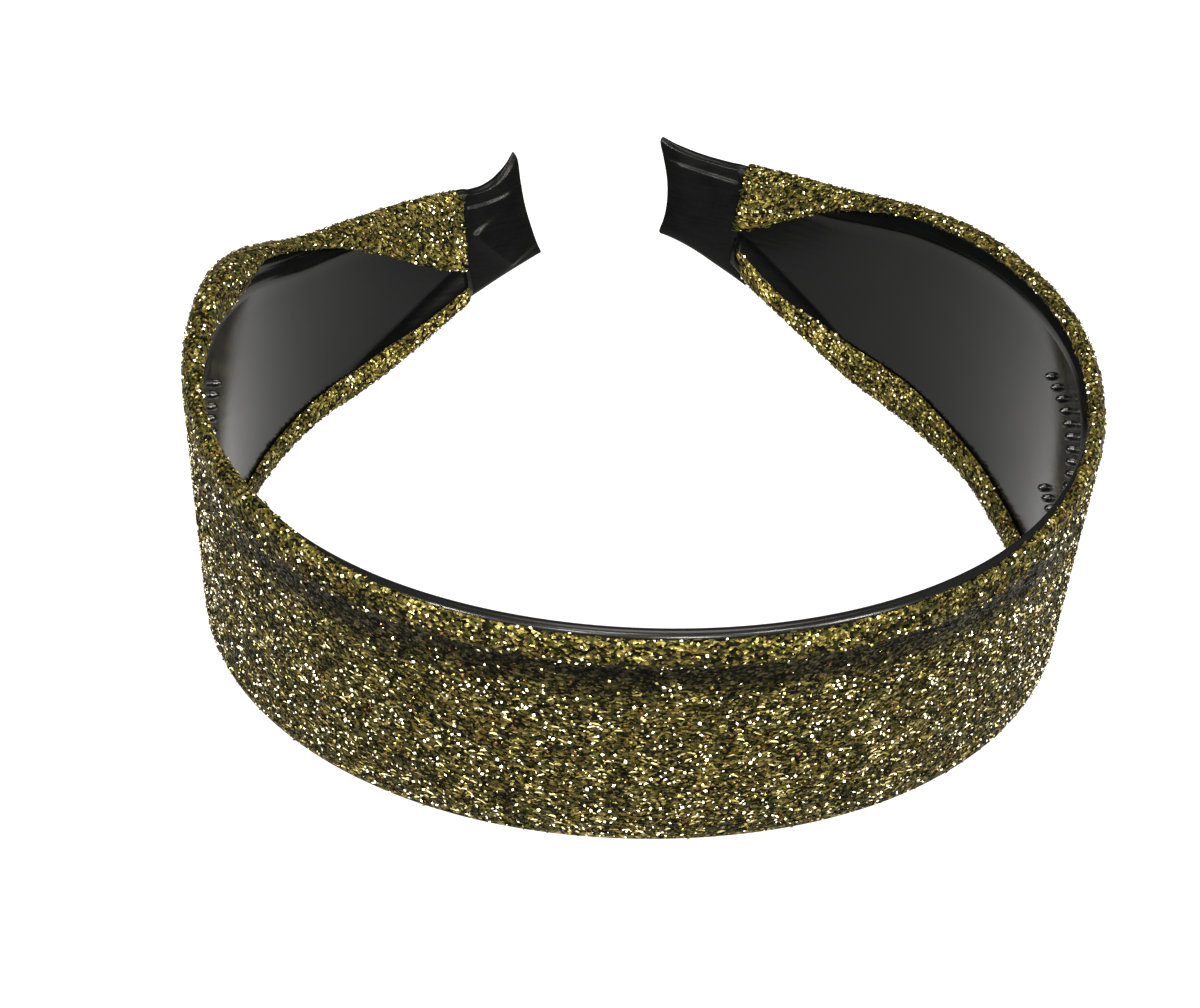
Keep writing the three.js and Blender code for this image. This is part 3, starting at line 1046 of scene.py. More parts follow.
@dataclass(frozen=True)
class Glitter:
    """Kind of small shiny thing strewn over the cloth: its sizes, and the tree that strews it.

    A bead has so many sides and rings, lies on its stand, is bowed sideways and tilted at random. Where the
    fill drops, as painted shade in the groove under the ridge, its brightest tint falls to what it keeps, and
    turned hems have painted-light tints of their own.
    """

    HEM_LIGHT = {"From Min": 0.5, "From Max": 0.6}
    CELL_FILL = 0.4
    CELL_SLANT = 0.2
    name: str
    sides: int
    rings: int
    spacing: float
    density: float
    length: float
    width: float
    height: float
    bow: float
    stand: float
    tilt: tuple[float, float, float]
    smallest: float
    largest: float
    keeps: float
    hem_darkest: float
    hem_brightest: float
    cells: int
    seed: int
    clearance: float = 0.0007

    def sizes(self) -> dict[str, tuple[str, Any]]:
        """Kind and value of the tree's inputs, one for each size.

        Returns:
            The inputs by their names.
        """
        kinds = {int: "NodeSocketInt", float: "NodeSocketFloat", tuple: "NodeSocketVector"}
        values = {size.name: getattr(self, size.name) for size in fields(self)[1:]}
        return {name.replace("_", " ").title(): (kinds[type(value)], value) for name, value in values.items()}

    def tree(self, material: Material) -> Grower:
        """Tree that strews bowed beads over a surface, each with its own tint and its own map cell.

        Args:
            material: Finish of the beads.

        Returns:
            The tree, ready to grow.
        """
        grower = Grower(self.name, {**self.sizes(), "Finish": ("NodeSocketMaterial", material)})
        wires, given = grower.wires, grower.given
        fill = wires.named("fill")
        height = wires.parts(wires.value("GeometryNodeInputPosition"))["Z"]
        strewn = wires.node(
            "GeometryNodeDistributePointsOnFaces",
            {
                "Mesh": given["Geometry"],
                "Selection": wires.math("GREATER_THAN", height, given["Clearance"]),
                "Distance Min": given["Spacing"],
                "Density Max": given["Density"],
                "Density Factor": fill,
                "Seed": given["Seed"],
            },
            distribute_method="POISSON",
        ).outputs
        seeds = [wires.math("ADD", given["Seed"], float(extra)) for extra in (1, 2, 3)]
        back = wires.value("ShaderNodeVectorMath", {0: given["Tilt"], "Scale": -1.0}, operation="SCALE")
        lean = wires.chance(back, given["Tilt"], seeds[0], "FLOAT_VECTOR")
        turned = wires.value(
            "FunctionNodeRotateRotation",
            {
                "Rotation": wires.turn(strewn["Normal"], wires.named("course", "FLOAT_VECTOR")),
                "Rotate By": wires.value("FunctionNodeEulerToRotation", {"Euler": lean}),
            },
            rotation_space="LOCAL",
        )
        beads = wires.value("GeometryNodeInstanceOnPoints", {
            "Points": strewn["Points"],
            "Instance": self.bead(wires, given),
            "Rotation": turned,
            "Scale": wires.chance(given["Smallest"], given["Largest"], seeds[1]),
        })
        # Painted light: the hems, marked by their higher painted light, take bead tints of their own.
        turned_in = wires.value("ShaderNodeMapRange", {"Value": wires.named("light"), **self.HEM_LIGHT})
        darkest = wires.math("MULTIPLY", turned_in, given["Hem Darkest"])
        # Painted shade: where the fill drops, the brightest tint drops with it.
        brightest = wires.spread(turned_in, wires.spread(fill, given["Keeps"], 1.0), given["Hem Brightest"])
        tint = wires.chance(darkest, brightest, seeds[2])
        tinted = wires.keep(beads, "tint", tint, "FLOAT", "INSTANCE")
        counted = wires.keep(tinted, "cell", wires.value("GeometryNodeInputIndex"), "FLOAT", "INSTANCE")
        whole = wires.value("GeometryNodeRealizeInstances", {"Geometry": counted})
        grower.end(wires.keep(whole, BAKE_MAP, self.cell_place(wires, given), "FLOAT2", "CORNER"))
        return grower

    @staticmethod
    def bead(wires: Wires, given: Any) -> Socket:
        """One long bead, bowed sideways, lying along X on the surface.

        Args:
            wires: Wires of the tree.
            given: Inputs of the tree.

        Returns:
            The bead's geometry.
        """
        round_sizes = {"Segments": given["Sides"], "Rings": given["Rings"], "Radius": 1.0}
        ball = wires.value("GeometryNodeMeshUVSphere", round_sizes)
        laid = wires.value("GeometryNodeTransform", {"Geometry": ball, "Rotation": (0.0, math.pi / 2, 0.0)})
        place = wires.value("GeometryNodeInputPosition")
        spotted = wires.keep(laid, "spot", place, "FLOAT_VECTOR", "POINT")
        parts = wires.parts(place)
        half = {
            axis: wires.math("MULTIPLY", parts[axis], given[size], 0.5)
            for axis, size in (("X", "Length"), ("Y", "Width"), ("Z", "Height"))
        }
        middle = wires.math("SUBTRACT", 1.0, wires.math("MULTIPLY", parts["X"], parts["X"]))
        shaped = wires.value("ShaderNodeCombineXYZ", {
            "X": half["X"],
            "Y": wires.math("ADD", half["Y"], wires.math("MULTIPLY", middle, given["Bow"])),
            "Z": wires.math("ADD", half["Z"], given["Stand"]),
        })
        return wires.value("GeometryNodeSetPosition", {"Geometry": spotted, "Position": shaped})

    def cell_place(self, wires: Wires, given: Any) -> Socket:
        """Place of a bead's corner on the bake's map, in the bead's own cell.

        Args:
            wires: Wires of the tree.
            given: Inputs of the tree.

        Returns:
            The place.
        """
        cell, cells = wires.named("cell"), given["Cells"]
        parts = wires.parts(wires.named("spot", "FLOAT_VECTOR"))
        slanted = wires.math("ADD", parts["Y"], wires.math("MULTIPLY", parts["Z"], self.CELL_SLANT))
        starts = {
            "X": (wires.math("MODULO", cell, cells), parts["X"]),
            "Y": (wires.math("FLOOR", wires.math("DIVIDE", cell, cells)), slanted),
        }
        places = {}
        for axis, (start, share) in starts.items():
            within = wires.math("ADD", wires.math("MULTIPLY", share, self.CELL_FILL), 0.5, start)
            places[axis] = wires.math("DIVIDE", within, cells)
        return wires.value("ShaderNodeCombineXYZ", places)


LOOP_KIND = Glitter(
    "glitter_loops", sides=3, rings=3, spacing=0.00060, density=1.60e6, length=0.00104, width=0.00024,
    height=0.00022, bow=0.00018, stand=0.00006, tilt=(0.55, 0.26, 0.50), smallest=0.65, largest=1.30,
    keeps=0.30, hem_darkest=0.49, hem_brightest=0.60, cells=160, seed=7,
)
FLAKE_KIND = Glitter(
    "glitter_flakes", sides=4, rings=2, spacing=0.00046, density=2.1e6, length=0.00044, width=0.00038,
    height=0.00018, bow=0.0, stand=0.00012, tilt=(0.60, 0.60, 3.14), smallest=0.50, largest=1.45,
    keeps=0.88, hem_darkest=0.38, hem_brightest=0.88, cells=170, seed=23,
)


@dataclass(frozen=True)
class Lay:
    """Point on the cloth's way: its height, its push off the band, the way it faces, its fill (painted shade
    in the groove) and its painted light.
    """

    high: float
    push: float
    way_up: float
    way_out: float
    fill: float = 1.0
    light: float = 1.0


@dataclass(frozen=True)
class Laid:
    """Grids of the whole cloth, along the band and across it: its two faces, and its fill and painted light.
    """

    places: np.ndarray
    inner: np.ndarray
    outer: np.ndarray
    fill: np.ndarray
    light: np.ndarray


@dataclass
class GlitterCloth:
    """Knitted glitter cloth, glued round the band and turned over its edges to the inside."""

    line: BandLine
    band: MouldedBand
    step: float = 0.0012
    end_gap: float = 0.0003
    hem_steps: int = 7
    fold_steps: int = 10
    face_steps: int = 46
    top_steps: int = 22
    hem_ease: float = 0.12
    hem_fill: float = 0.66
    hem_light: float = 0.66
    face_light: float = 0.46
    edge_round: float = 0.0009
    edge_thin: float = 0.12
    face_low: float = 0.985
    face_high: float = 0.02
    bulge_reach: float = 1.6
    bare_reach: float = 2.0
    cut_reach: float = 0.004
    cut_uneven: float = 0.00018
    cut_low: float = -0.5
    cut_waves: tuple[float, float] = (2.1, 0.7)
    cut_slant: dict[Arm, float] = per_arm(0.0002, 0.0009)
    hem_short: dict[Arm, float] = per_arm(0.0004, 0.0018)
    fold_reach: dict[Arm, float] = per_arm(0.078, 0.066)
    bake_strips: int = 4
    bake_wide: float = 0.97
    bake_outer: float = 0.78
    bake_inner: tuple[float, float] = (0.80, 0.18)
    knit_inner: float = 0.1
    hem_bulge: Table = table(
        "along left right",
        (0.060, 0.0000, 0.0000),
        (0.085, 0.0000, 0.0011),
        (0.110, 0.0001, 0.0011),
        (0.135, 0.0007, 0.0010),
        (0.155, 0.0012, 0.0012),
        (0.174, 0.0011, 0.0011),
    )
    turns: Table = table(
        "along left right left_hem right_hem",
        (0.000, 0.0007, 0.0007, 0.0030, 0.0030),
        (0.028, 0.0010, 0.0011, 0.0030, 0.0030),
        (0.045, 0.0018, 0.0017, 0.0029, 0.0030),
        (0.062, 0.0030, 0.0025, 0.0028, 0.0030),
        (0.085, 0.0034, 0.0034, 0.0026, 0.0030),
        (0.091, 0.0037, 0.0036, 0.0026, 0.0029),
        (0.097, 0.0045, 0.0038, 0.0025, 0.0028),
        (0.103, 0.0053, 0.0039, 0.0024, 0.0027),
        (0.109, 0.0070, 0.0040, 0.0024, 0.0027),
        (0.115, 0.0084, 0.0040, 0.0023, 0.0029),
        (0.121, 0.0078, 0.0041, 0.0022, 0.0031),
        (0.129, 0.0046, 0.0042, 0.0022, 0.0038),
        (0.139, 0.0044, 0.0043, 0.0023, 0.0049),
        (0.146, 0.0056, 0.0046, 0.0026, 0.0046),
        (0.156, 0.0090, 0.0060, 0.0026, 0.0034),
        (0.165, 0.0134, 0.0099, 0.0017, 0.0021),
        (0.176, 0.0168, 0.0148, 0.0014, 0.0030),
    )
    looseness: Table = table(
        "along left right left_bulge right_bulge",
        (0.000, 0.0000, 0.0000, 0.0000, 0.0000),
        (0.042, 0.0000, 0.0000, 0.0000, 0.0000),
        (0.062, 0.0003, 0.0000, 0.0000, 0.0000),
        (0.085, 0.0006, 0.0005, 0.0000, 0.0000),
        (0.098, 0.0012, 0.0006, 0.0002, 0.0000),
        (0.110, 0.0021, 0.0006, 0.0007, 0.0000),
        (0.118, 0.0028, 0.0005, 0.0010, 0.0000),
        (0.130, 0.0024, 0.0007, 0.0008, 0.0002),
        (0.145, 0.0010, 0.0007, 0.0001, 0.0002),
        (0.156, 0.0006, 0.0009, 0.0000, 0.0000),
        (0.176, 0.0006, 0.0006, 0.0000, 0.0000),
    )
    # The fill column is painted shade: low in the groove under the ridge and somewhat lowered on the strip
    # above it, it thins the beads and darkens their tints and the ground.
    folds: Table = table(
        "down lift fill",
        (0.000, 0.00010, 0.72),
        (0.012, 0.00030, 0.74),
        (0.035, 0.00090, 0.76),
        (0.055, 0.00125, 0.78),
        (0.075, 0.00105, 0.74),
        (0.092, 0.00020, 0.22),
        (0.130, 0.00000, 0.15),
        (0.170, 0.00000, 0.26),
        (0.205, 0.00003, 0.40),
        (0.240, 0.00006, 0.85),
        (0.320, 0.00012, 1.00),
        (0.520, 0.00050, 1.00),
        (0.760, 0.00090, 1.00),
        (0.920, 0.00060, 1.00),
        (1.000, 0.00000, 1.00),
    )

    def path(self, at: Station) -> list[Lay]:
        """Way of the cloth round the band at one place, from its lower hem to its upper edge.

        Args:
            at: Place along the band.

        Returns:
            The points of the way.
        """
        far, side = at.far, at.arm.value
        fade = max(0.0, 1 - (far / self.fold_reach[at.arm]) ** 2)
        hem, turned = self.turns.at(f"{side}_hem", far), self.turns.at(side, far)
        bulge = self.looseness.at(f"{side}_bulge", far)
        full = self.hem_bulge.at(side, far)
        # Painted light: the turned hems get a higher painted light than the face.
        hem_look = (self.hem_fill, self.hem_light)
        points = []
        for share in np.linspace(1, 0, self.hem_steps):
            push = max(full * (1 - share * share), self.band.swell(far, hem * share) + self.hem_ease * full)
            points.append(Lay(-at.half + hem * share, push, 0.0, -1.0, *hem_look))
        for angle in np.linspace(0, math.pi, self.fold_steps)[1:]:
            push = full * (1 + math.cos(angle)) / 2
            points.append(Lay(-at.half, push, -math.sin(angle), -math.cos(angle), 1.0, self.hem_light))
        for share in np.linspace(0, 1, self.face_steps):
            down = self.face_low + (self.face_high - self.face_low) * share
            push = self.folds.at("lift", down) * fade + bulge * ease(share * self.bulge_reach)
            # Painted shade: the fill darkens the groove, fading out along the arms.
            fill = 1 - (1 - self.folds.at("fill", down)) * min(1.0, fade * self.bare_reach)
            points.append(Lay(at.half * (1 - 2 * down), push, 0.0, 1.0, fill, fill * self.face_light))
        fold_length = math.pi * (self.line.cloth_inner + self.line.cloth_outer) / 2
        top = at.half + self.looseness.at(side, far)
        push = self.folds.at("lift", 0.0) * fade + bulge
        for run in np.linspace(0, turned, self.top_steps):
            angle = min(math.pi, math.pi * run / fold_length)
            lower = max(0.0, run - fold_length)
            eased = push * (1 + math.cos(angle)) / 2
            points.append(Lay(top - lower, eased, math.sin(angle), math.cos(angle), *hem_look))
        return points

    def cut(self, at: Station, step: Lay, count: int) -> float:
        """How far the cut end of the cloth runs past its sleeve's mouth at one point of its way.

        Args:
            at: Place along the band.
            step: Point of the way.
            count: Number of the point along the way, which sets the unevenness.

        Returns:
            The extra length along the arm, none away from the ends.
        """
        near = 1 - (self.line.sleeve_mouth - at.far) / self.cut_reach
        share = step.high / at.half
        if near <= 0 or (step.way_out > 0 and share >= self.cut_low):
            return 0.0
        if share < self.cut_low:
            return -near * self.hem_short[at.arm] * ease((self.cut_low - share) * 2)
        slant = self.cut_slant[at.arm] * (1 - max(0.0, share))
        quick, slow = self.cut_waves
        return near * (slant + self.cut_uneven * math.sin(quick * count) * math.sin(slow * count + 1))

    @staticmethod
    def point(spot: Station, step: Lay, depth: float) -> Vector:
        """Point of the cloth at a depth over the band, held above the floor.

        Args:
            spot: Frame of the wall there.
            step: Point of the way.
            depth: Depth over the band.

        Returns:
            The point.
        """
        placed = spot.place(step.high + step.way_up * depth, step.way_out * (depth + step.push))
        placed.z = max(placed.z, 0.0)
        return placed

    def lay(self, at: Station, path: list[Lay]) -> tuple[list[Vector], list[Vector]]:
        """Inner and outer points of the cloth at one place, thinned to a round at its two cut edges.

        Args:
            at: Place along the band.
            path: Way of the cloth there.

        Returns:
            The inner points and the outer points.
        """
        depth = self.line.cloth_inner
        thick = self.line.cloth_outer - depth
        spots = []
        for count, step in enumerate(path):
            extra = self.cut(at, step, count)
            spots.append(self.line.station(at.along + extra * at.arm.sign) if extra else at)
        inner = [self.point(spot, step, depth) for spot, step in zip(spots, path)]
        gone = np.cumsum([0.0] + [(b - a).length for a, b in zip(inner, inner[1:])])
        edge = np.minimum(gone, gone[-1] - gone) / self.edge_round
        rounded = np.sqrt(1 - (1 - np.clip(edge, 0, 1)) ** 2)
        full = self.edge_thin + (1 - self.edge_thin) * rounded
        outer = [self.point(*pair, depth + thick * share) for *pair, share in zip(spots, path, full)]
        return inner, outer

    @cached_property
    def laid(self) -> Laid:
        """The whole cloth, laid from one sleeve's mouth to the other's.

        Returns:
            The grids.
        """
        end = self.line.sleeve_mouth - self.end_gap
        places = spaced(-end, end, self.step)
        rows = []
        for along in places:
            at = self.line.station(along)
            path = self.path(at)
            faces = [[tuple(point) for point in face] for face in self.lay(at, path)]
            rows.append((*faces, [step.fill for step in path], [step.light for step in path]))
        return Laid(places, *(np.array(grid) for grid in zip(*rows)))

    def build(self, material: Material) -> Piece:
        """The cloth as a closed wall with its own maps.

        Args:
            material: Finish of its ground.

        Returns:
            The object.
        """
        laid = self.laid
        solid = Solid()
        faces = zip(laid.outer, laid.inner)
        placed = solid.rings([[*map(Vector, outer), *map(Vector, inner[::-1])] for outer, inner in faces])
        solid.lid(placed[0], False)
        solid.lid(placed[-1], True)
        piece = solid.object("glitter_cloth", material)
        # Painted light and shade for the ground, the same on both faces of the cloth.
        store(piece.data, "light", "FLOAT", np.concatenate([laid.light, laid.light[:, ::-1]], axis=1))
        self.map_knit(piece.data)
        return piece

    def map_knit(self, mesh: Mesh) -> None:
        """Maps the cloth flat, in metres for its knit and in strips for its bake.

        Args:
            mesh: Mesh of the cloth.
        """
        places, outer, strips = self.laid.places, self.laid.outer, self.bake_strips
        count = outer.shape[1]
        widths = np.linalg.norm(np.diff(outer, axis=1), axis=2)
        across = np.concatenate([np.zeros((len(places), 1)), np.cumsum(widths, axis=1)], axis=1)
        LOG.info("cloth is %.1f mm wide at most before it is turned", across.max() * 1000)
        vertex = np.empty(len(mesh.loops), int)
        mesh.loops.foreach_get("vertex_index", vertex)
        ring, spot = vertex // (2 * count), vertex % (2 * count)
        is_outer = spot < count
        column = np.where(is_outer, spot, 2 * count - 1 - spot)
        beside = np.where(is_outer, 0.0, self.knit_inner)
        flat = np.stack([places[ring], across[ring, column] + beside], axis=1)
        share = (places[ring] - places[0]) / (places[-1] - places[0])
        first = np.repeat(share.reshape(-1, 4).min(axis=1), 4) * strips
        strip = np.floor(np.minimum(first, strips - 1e-6))
        low, tall = self.bake_inner
        height = np.where(is_outer, self.bake_outer * column / count, low + tall * column / count)
        bake = np.stack([(share * strips - strip) * self.bake_wide, (strip + height) / strips], axis=1)
        for name, places_on in (("knit", flat), (BAKE_MAP, bake)):
            mesh.uv_layers.new(name=name).uv.foreach_set("vector", places_on.astype(np.float32).ravel())

    def strew(self, kind: Glitter, material: Material) -> Piece:
        """Small shiny things over the outside of the cloth, as one piece.

        Args:
            kind: Their kind.
            material: Their finish.

        Returns:
            The object.
        """
        laid = self.laid
        rows, count = laid.outer.shape[:2]
        index = np.arange(rows * count).reshape(rows, count)
        quads = np.stack([index[:-1, :-1], index[1:, :-1], index[1:, 1:], index[:-1, 1:]], axis=-1)
        mesh = smooth_mesh(kind.name, laid.outer.reshape(-1, 3).tolist(), quads.reshape(-1, 4).tolist())
        store(mesh, "course", "FLOAT_VECTOR", np.gradient(laid.outer, laid.places, axis=0))
        store(mesh, "fill", "FLOAT", laid.fill)
        store(mesh, "light", "FLOAT", laid.light)
        piece = linked(kind.name, mesh)
        kind.tree(material).grow(piece, ("course", "cell", "spot", "fill", "light"))
        return piece


@dataclass(frozen=True)
class SleeveEnd:
    """Shape of one sleeve: its tip, the flare of its corners, its slant and hollow, and its extra height."""

    tip: float
    top: float
    bottom: float
    slant: float
    dip: float
    rise: float
    drop: float


@dataclass(frozen=True)
class Crease:
    """Raised fold across a sleeve's inner face, between two places given as shares of length and height."""

    start: tuple[float, float]
    end: tuple[float, float]
    rise: float
    sharp: float
    soft: float


@dataclass
class FilmSleeve:
    """Black film shrunk flat onto one end of the band, with flared corners and a pressed upper fold."""

    line: BandLine
    arm: Arm
    end: SleeveEnd
    creases: tuple[Crease, ...]
    steps: int = 84
    side_points: int = 84
    side_square: float = 9.0
    mouth_gap: float = 0.00015
    mouth_from: float = 0.4
    mouth_reach: float = 3.0
    mouth_slant: dict[Arm, float] = per_arm(0.0004, 0.0018)
    horn: float = 0.0008
    corner: float = 0.0007
    corner_square: float = 24.0
    fold_start: float = 0.67
    fold_end: float = 0.72
    fold_dip: float = 0.16
    fold_top: float = 0.66
    fold_from: float = 0.02
    fold_full: float = 0.09
    crease_half: float = 0.42
    crease_fade: float = 0.01
    room_gap: float = 0.0003
    room_step: float = 0.001
    room_square: float = 14.0
    sections: Table = table(
        "way flare half",
        (0.00, 0.0000, 0.00116),
        (0.09, 0.0000, 0.00152),
        (0.20, -0.0001, 0.00155),
        (0.40, 0.0000, 0.00150),
        (0.60, 0.0004, 0.00145),
        (0.76, 0.0010, 0.00130),
        (0.88, 0.0016, 0.00095),
        (0.95, 0.0021, 0.00070),
        (1.00, 0.0024, 0.00055),
    )

    @property
    def mouth(self) -> float:
        """Length along the arm at which the sleeve begins."""
        return self.line.sleeve_mouth - self.mouth_gap

    @property
    def shares(self) -> np.ndarray:
        """Shares of the half height, from the lower edge to the upper and closer near both."""
        return np.sin(np.linspace(-math.pi / 2, math.pi / 2, self.side_points))

    def side(self, way: float, share: float, inside: bool) -> float:
        """Share of the half thickness at one place, with the film folded back along the top.

        Args:
            way: Share of the way to the far end.
            share: Share of the half height.
            inside: Whether the place is on the inner face.

        Returns:
            The share of the half thickness.
        """
        full = math.sqrt(max(0.0, 1 - abs(share) ** self.side_square))
        if not inside or share < self.fold_start:
            return full
        into = ease((share - self.fold_start) / (self.fold_end - self.fold_start))
        lean = max(0.0, (share - self.fold_end) / (1 - self.fold_end))
        thin = 1 - self.fold_dip * into - (1 - self.fold_dip - self.fold_top) * lean
        fade = ease((way - self.fold_from) / (self.fold_full - self.fold_from))
        return min(full, 1 - (1 - thin) * fade)

    def crease_rise(self, way: float, share: float) -> float:
        """Height of the creases at one place on the inner face.

        Args:
            way: Share of the way to the far end.
            share: Share of the half height.

        Returns:
            The height.
        """
        total = 0.0
        for crease in self.creases:
            start, end = Vector(crease.start), Vector(crease.end)
            along = (end - start).normalized()
            offset = Vector((way, share)) - start
            run = offset.dot(along) / (end - start).length
            aside = offset.x * along.y - offset.y * along.x
            reach = crease.sharp if aside > 0 else crease.soft
            past = max(0.0, abs(run - 0.5) - self.crease_half)
            total += crease.rise * math.exp(-abs(aside) / reach) * math.exp(-past ** 2 / self.crease_fade)
        return total

    def ring(self, way: float) -> list[Vector]:
        """Ring of the film's outside at a share of the way to the far end.

        Args:
            way: The share.

        Returns:
            The ring's points.
        """
        line, end, sign = self.line, self.end, self.arm.sign
        base = line.station(sign * (self.mouth + way * (end.tip - self.mouth)))
        flare, half = self.sections.at("flare", way), self.sections.at("half", way)
        upper = base.half + line.cloth_outer + end.rise
        lower = base.half + line.cloth_outer + end.drop
        ring = []
        for inside, shares in ((False, self.shares), (True, self.shares[::-1])):
            for share in shares:
                reach = self.horn * abs(share) ** 3 - end.dip * (1 - share * share) - end.slant * share
                reach -= self.corner * abs(share) ** self.corner_square
                low = ease((-share - self.mouth_from) / (1 - self.mouth_from))
                back = self.mouth_slant[self.arm] * low * (1 - ease(way * self.mouth_reach))
                at = line.station(base.along + sign * (way * reach - back))
                widen = flare * share ** 3 * (end.top if share > 0 else end.bottom)
                out = half * self.side(way, share, inside)
                if inside:
                    out = -out - self.crease_rise(way, share)
                ring.append(at.place(share * (upper if share > 0 else lower) + widen, out))
        return ring

    def room(self, along: float) -> list[Vector]:
        """Ring of the room inside the film, clear of the band's tongue.

        Args:
            along: Length along the arm.

        Returns:
            The ring's points.
        """
        at = self.line.station(self.arm.sign * along)
        tall = at.half + self.line.cloth_inner
        spots = [
            (share * tall, self.line.cloth_inner * math.sqrt(max(0.0, 1 - abs(share) ** self.room_square)))
            for share in self.shares
        ]
        return [at.place(*spot) for spot in spots] + [at.place(high, -out) for high, out in spots[::-1]]

    def build(self, material: Material) -> Piece:
        """The sleeve as one closed shell.

        Args:
            material: Its finish.

        Returns:
            The object.
        """
        start = self.line.tongue_end + self.room_gap
        rings = [self.room(along) for along in spaced(start, self.mouth, self.room_step)]
        rings += [self.ring(way) for way in np.linspace(0, 1, self.steps)]
        if self.arm is Arm.RIGHT:
            rings = [ring[::-1] for ring in rings]
        solid = Solid()
        placed = solid.rings(rings)
        solid.lid(placed[0], self.arm is Arm.RIGHT)
        solid.lid(placed[-1], self.arm is Arm.LEFT)
        return solid.object(f"film_sleeve_{self.arm.value}", material)


SLEEVE_ENDS = {
    Arm.LEFT: SleeveEnd(
        tip=0.1856, top=2.0, bottom=-0.3, slant=0.0018, dip=-0.0004, rise=0.0006, drop=-0.0001
    ),
    Arm.RIGHT: SleeveEnd(
        tip=0.1876, top=0.8, bottom=0.0, slant=-0.0006, dip=0.0010, rise=0.0002, drop=0.0014
    ),
}
SLEEVE_CREASES = {
    Arm.LEFT: (
        Crease((0.14, 0.22), (0.36, -0.22), 0.00055, 0.05, 0.22),
        Crease((0.36, -0.22), (0.62, -0.80), 0.00060, 0.06, 0.24),
    ),
    Arm.RIGHT: (),
}


@dataclass(frozen=True)
class SoftBox:
    """Square soft light turned toward the band: its place, its side, its power in watts and its colour."""

    name: str
    place: tuple[float, float, float]
    side: float
    power: float
    colour: Colour = (1.0, 0.97, 0.90)


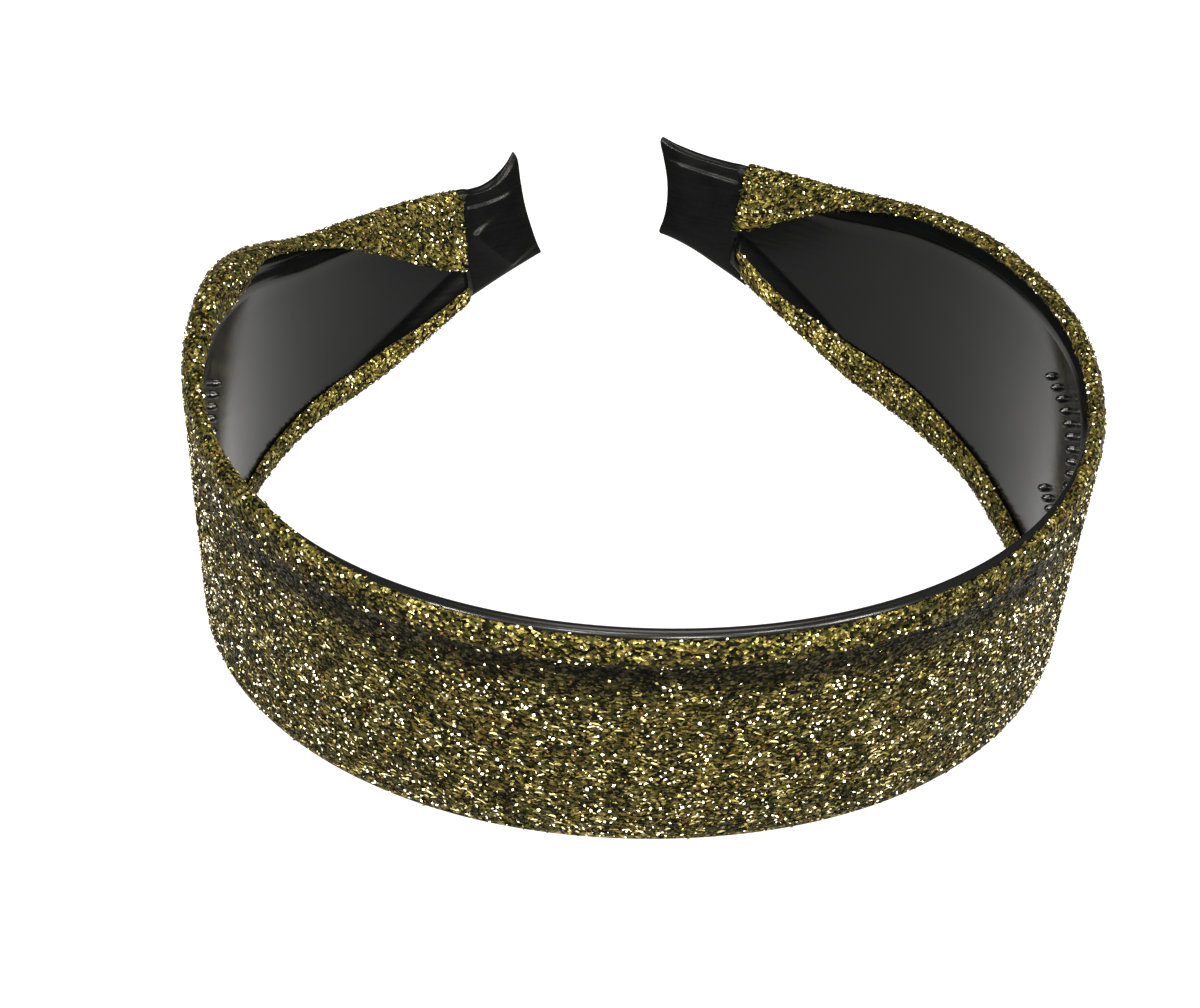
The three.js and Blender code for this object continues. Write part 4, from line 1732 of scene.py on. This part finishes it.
@dataclass
class Studio:
    """Pale floor, soft boxes, a dim surrounding and the camera."""

    floor_half: float = 4.0
    floor_glow: float = 0.90
    floor_seen: float = 0.95
    floor_shade: Colour = (0.15, 0.15, 0.15)
    floor_rough: tuple[float, float] = (0.85, 0.95)
    floor_grain: float = 40.0
    room_light: tuple[float, float] = (0.12, 0.10)
    room_rise: float = 0.8
    boxes: tuple[SoftBox, ...] = (
        SoftBox("key_box", (-0.22, -0.62, 1.05), 0.22, 8.6),
        SoftBox("top_box", (0.10, 0.20, 1.25), 0.60, 14.0),
        SoftBox("right_box", (0.80, -0.75, 0.60), 0.16, 18.0),
        SoftBox("left_box", (-0.85, -0.60, 0.55), 0.16, 16.0),
        SoftBox("front_box", (0.10, -1.15, 0.50), 0.14, 16.5),
        SoftBox("low_left_box", (-0.50, -1.10, 0.80), 0.14, 14.0),
        SoftBox("low_right_box", (0.55, -1.00, 0.95), 0.14, 14.0),
    )
    azimuth: float = -6.74
    elevation: float = 30.95
    roll: float = 2.06
    distance: float = 0.42374
    lens: float = 87.8
    sensor: float = 36.0
    nearest: float = 0.01
    aim: tuple[float, float, float] = (-0.00537, -0.00162, 0.01588)

    def build(self) -> None:
        """Makes everything in the studio."""
        self.floor()
        for box in self.boxes:
            self.light(box)
        self.surrounding()
        self.camera()
        bpy.context.scene.view_settings.view_transform = "Standard"

    def floor(self) -> None:
        """Pale matt floor that glows a little, as a lit white sweep does."""
        material, wires, shader = Finish.start("pale_floor")
        speckle = {"Vector": wires.value("ShaderNodeTexCoord", output="Object"), "Scale": self.floor_grain}
        grain = wires.value("ShaderNodeTexNoise", speckle, output="Fac")
        seen = wires.value("ShaderNodeLightPath", output="Is Camera Ray")
        wires.feed(shader, {
            "Base Color": (*self.floor_shade, 1.0),
            "Roughness": wires.spread(grain, *self.floor_rough),
            "Emission Color": (1.0, 1.0, 1.0, 1.0),
            "Emission Strength": wires.spread(seen, self.floor_glow, self.floor_seen),
        })
        mesh = bpy.data.meshes.new("pale_floor")
        half = self.floor_half
        corners = [(x * half, y * half, 0.0) for x, y in ((-1, -1), (1, -1), (1, 1), (-1, 1))]
        mesh.from_pydata(corners, [], [(0, 1, 2, 3)])
        mesh.materials.append(material)
        linked("pale_floor", mesh)

    @staticmethod
    def light(box: SoftBox) -> None:
        """One soft box, turned toward the band.

        Args:
            box: Its place, size and light.
        """
        lamp = bpy.data.lights.new(box.name, "AREA")
        lamp.size = box.side
        lamp.energy = box.power
        lamp.color = box.colour
        holder = linked(box.name, lamp)
        holder.location = box.place
        holder.rotation_euler = (-Vector(box.place)).to_track_quat("-Z", "Y").to_euler()

    def surrounding(self) -> None:
        """Dim room that is lighter near the horizon."""
        world = bpy.data.worlds.new("studio_room")
        world.use_nodes = True
        wires = Wires(world.node_tree)
        low, high = self.room_light
        rise = wires.parts(wires.value("ShaderNodeTexCoord", output="Generated"))["Z"]
        fall = {"Value": rise, "From Min": 0.0, "From Max": self.room_rise, "To Min": low, "To Max": high}
        wires.feed(world.node_tree.nodes["Background"], {
            "Color": (1.0, 1.0, 1.0, 1.0),
            "Strength": wires.value("ShaderNodeMapRange", fall),
        })
        bpy.context.scene.world = world

    def camera(self) -> None:
        """Camera at the photograph's angle."""
        turn, rise = math.radians(self.azimuth), math.radians(self.elevation)
        level_way = math.cos(rise)
        back = Vector((math.sin(turn) * level_way, -math.cos(turn) * level_way, math.sin(rise)))
        across = UP.cross(back).normalized()
        level = Matrix((across, back.cross(across), back)).transposed()
        turned = level @ Matrix.Rotation(math.radians(self.roll), 3, "Z")
        data = bpy.data.cameras.new("photo_camera")
        data.sensor_fit = "HORIZONTAL"
        data.sensor_width = self.sensor
        data.lens = self.lens
        data.clip_start = self.nearest
        holder = linked("photo_camera", data)
        holder.matrix_world = Matrix.Translation(Vector(self.aim) + back * self.distance) @ turned.to_4x4()
        bpy.context.scene.camera = holder


def seat(piece: Piece, node: str | None = None) -> Piece:
    """Ties a piece to the part: its body and the node that it stands for.

    Args:
        piece: The piece.
        node: Node that the piece stands for, if it does.

    Returns:
        The same piece.
    """
    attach(piece, BODY)
    if node:
        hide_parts(node)
    LOG.info("%s: %d faces", piece.name, len(piece.data.polygons))
    return piece


def main() -> None:
    """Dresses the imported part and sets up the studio."""
    logging.basicConfig(level=logging.INFO, format="%(name)s: %(message)s")
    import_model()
    line = BandLine()
    band = MouldedBand(line)
    Studio().build()

    moulded = seat(band.build(PLASTIC.material()), "core_band")
    seat(band.build_teeth(TOOTH_PLASTIC.material()))

    cloth = GlitterCloth(line, band)
    cover = seat(cloth.build(GROUND.material()), "glitter_cover")
    loops = seat(cloth.strew(LOOP_KIND, LOOPS.material()))
    flakes = seat(cloth.strew(FLAKE_KIND, FLAKES.material()))

    film = FILM.material()
    for arm in Arm:
        sleeve = FilmSleeve(line, arm, SLEEVE_ENDS[arm], SLEEVE_CREASES[arm])
        seat(sleeve.build(film), f"end_cap_{arm.value}")


if __name__ == "__main__":
    main()
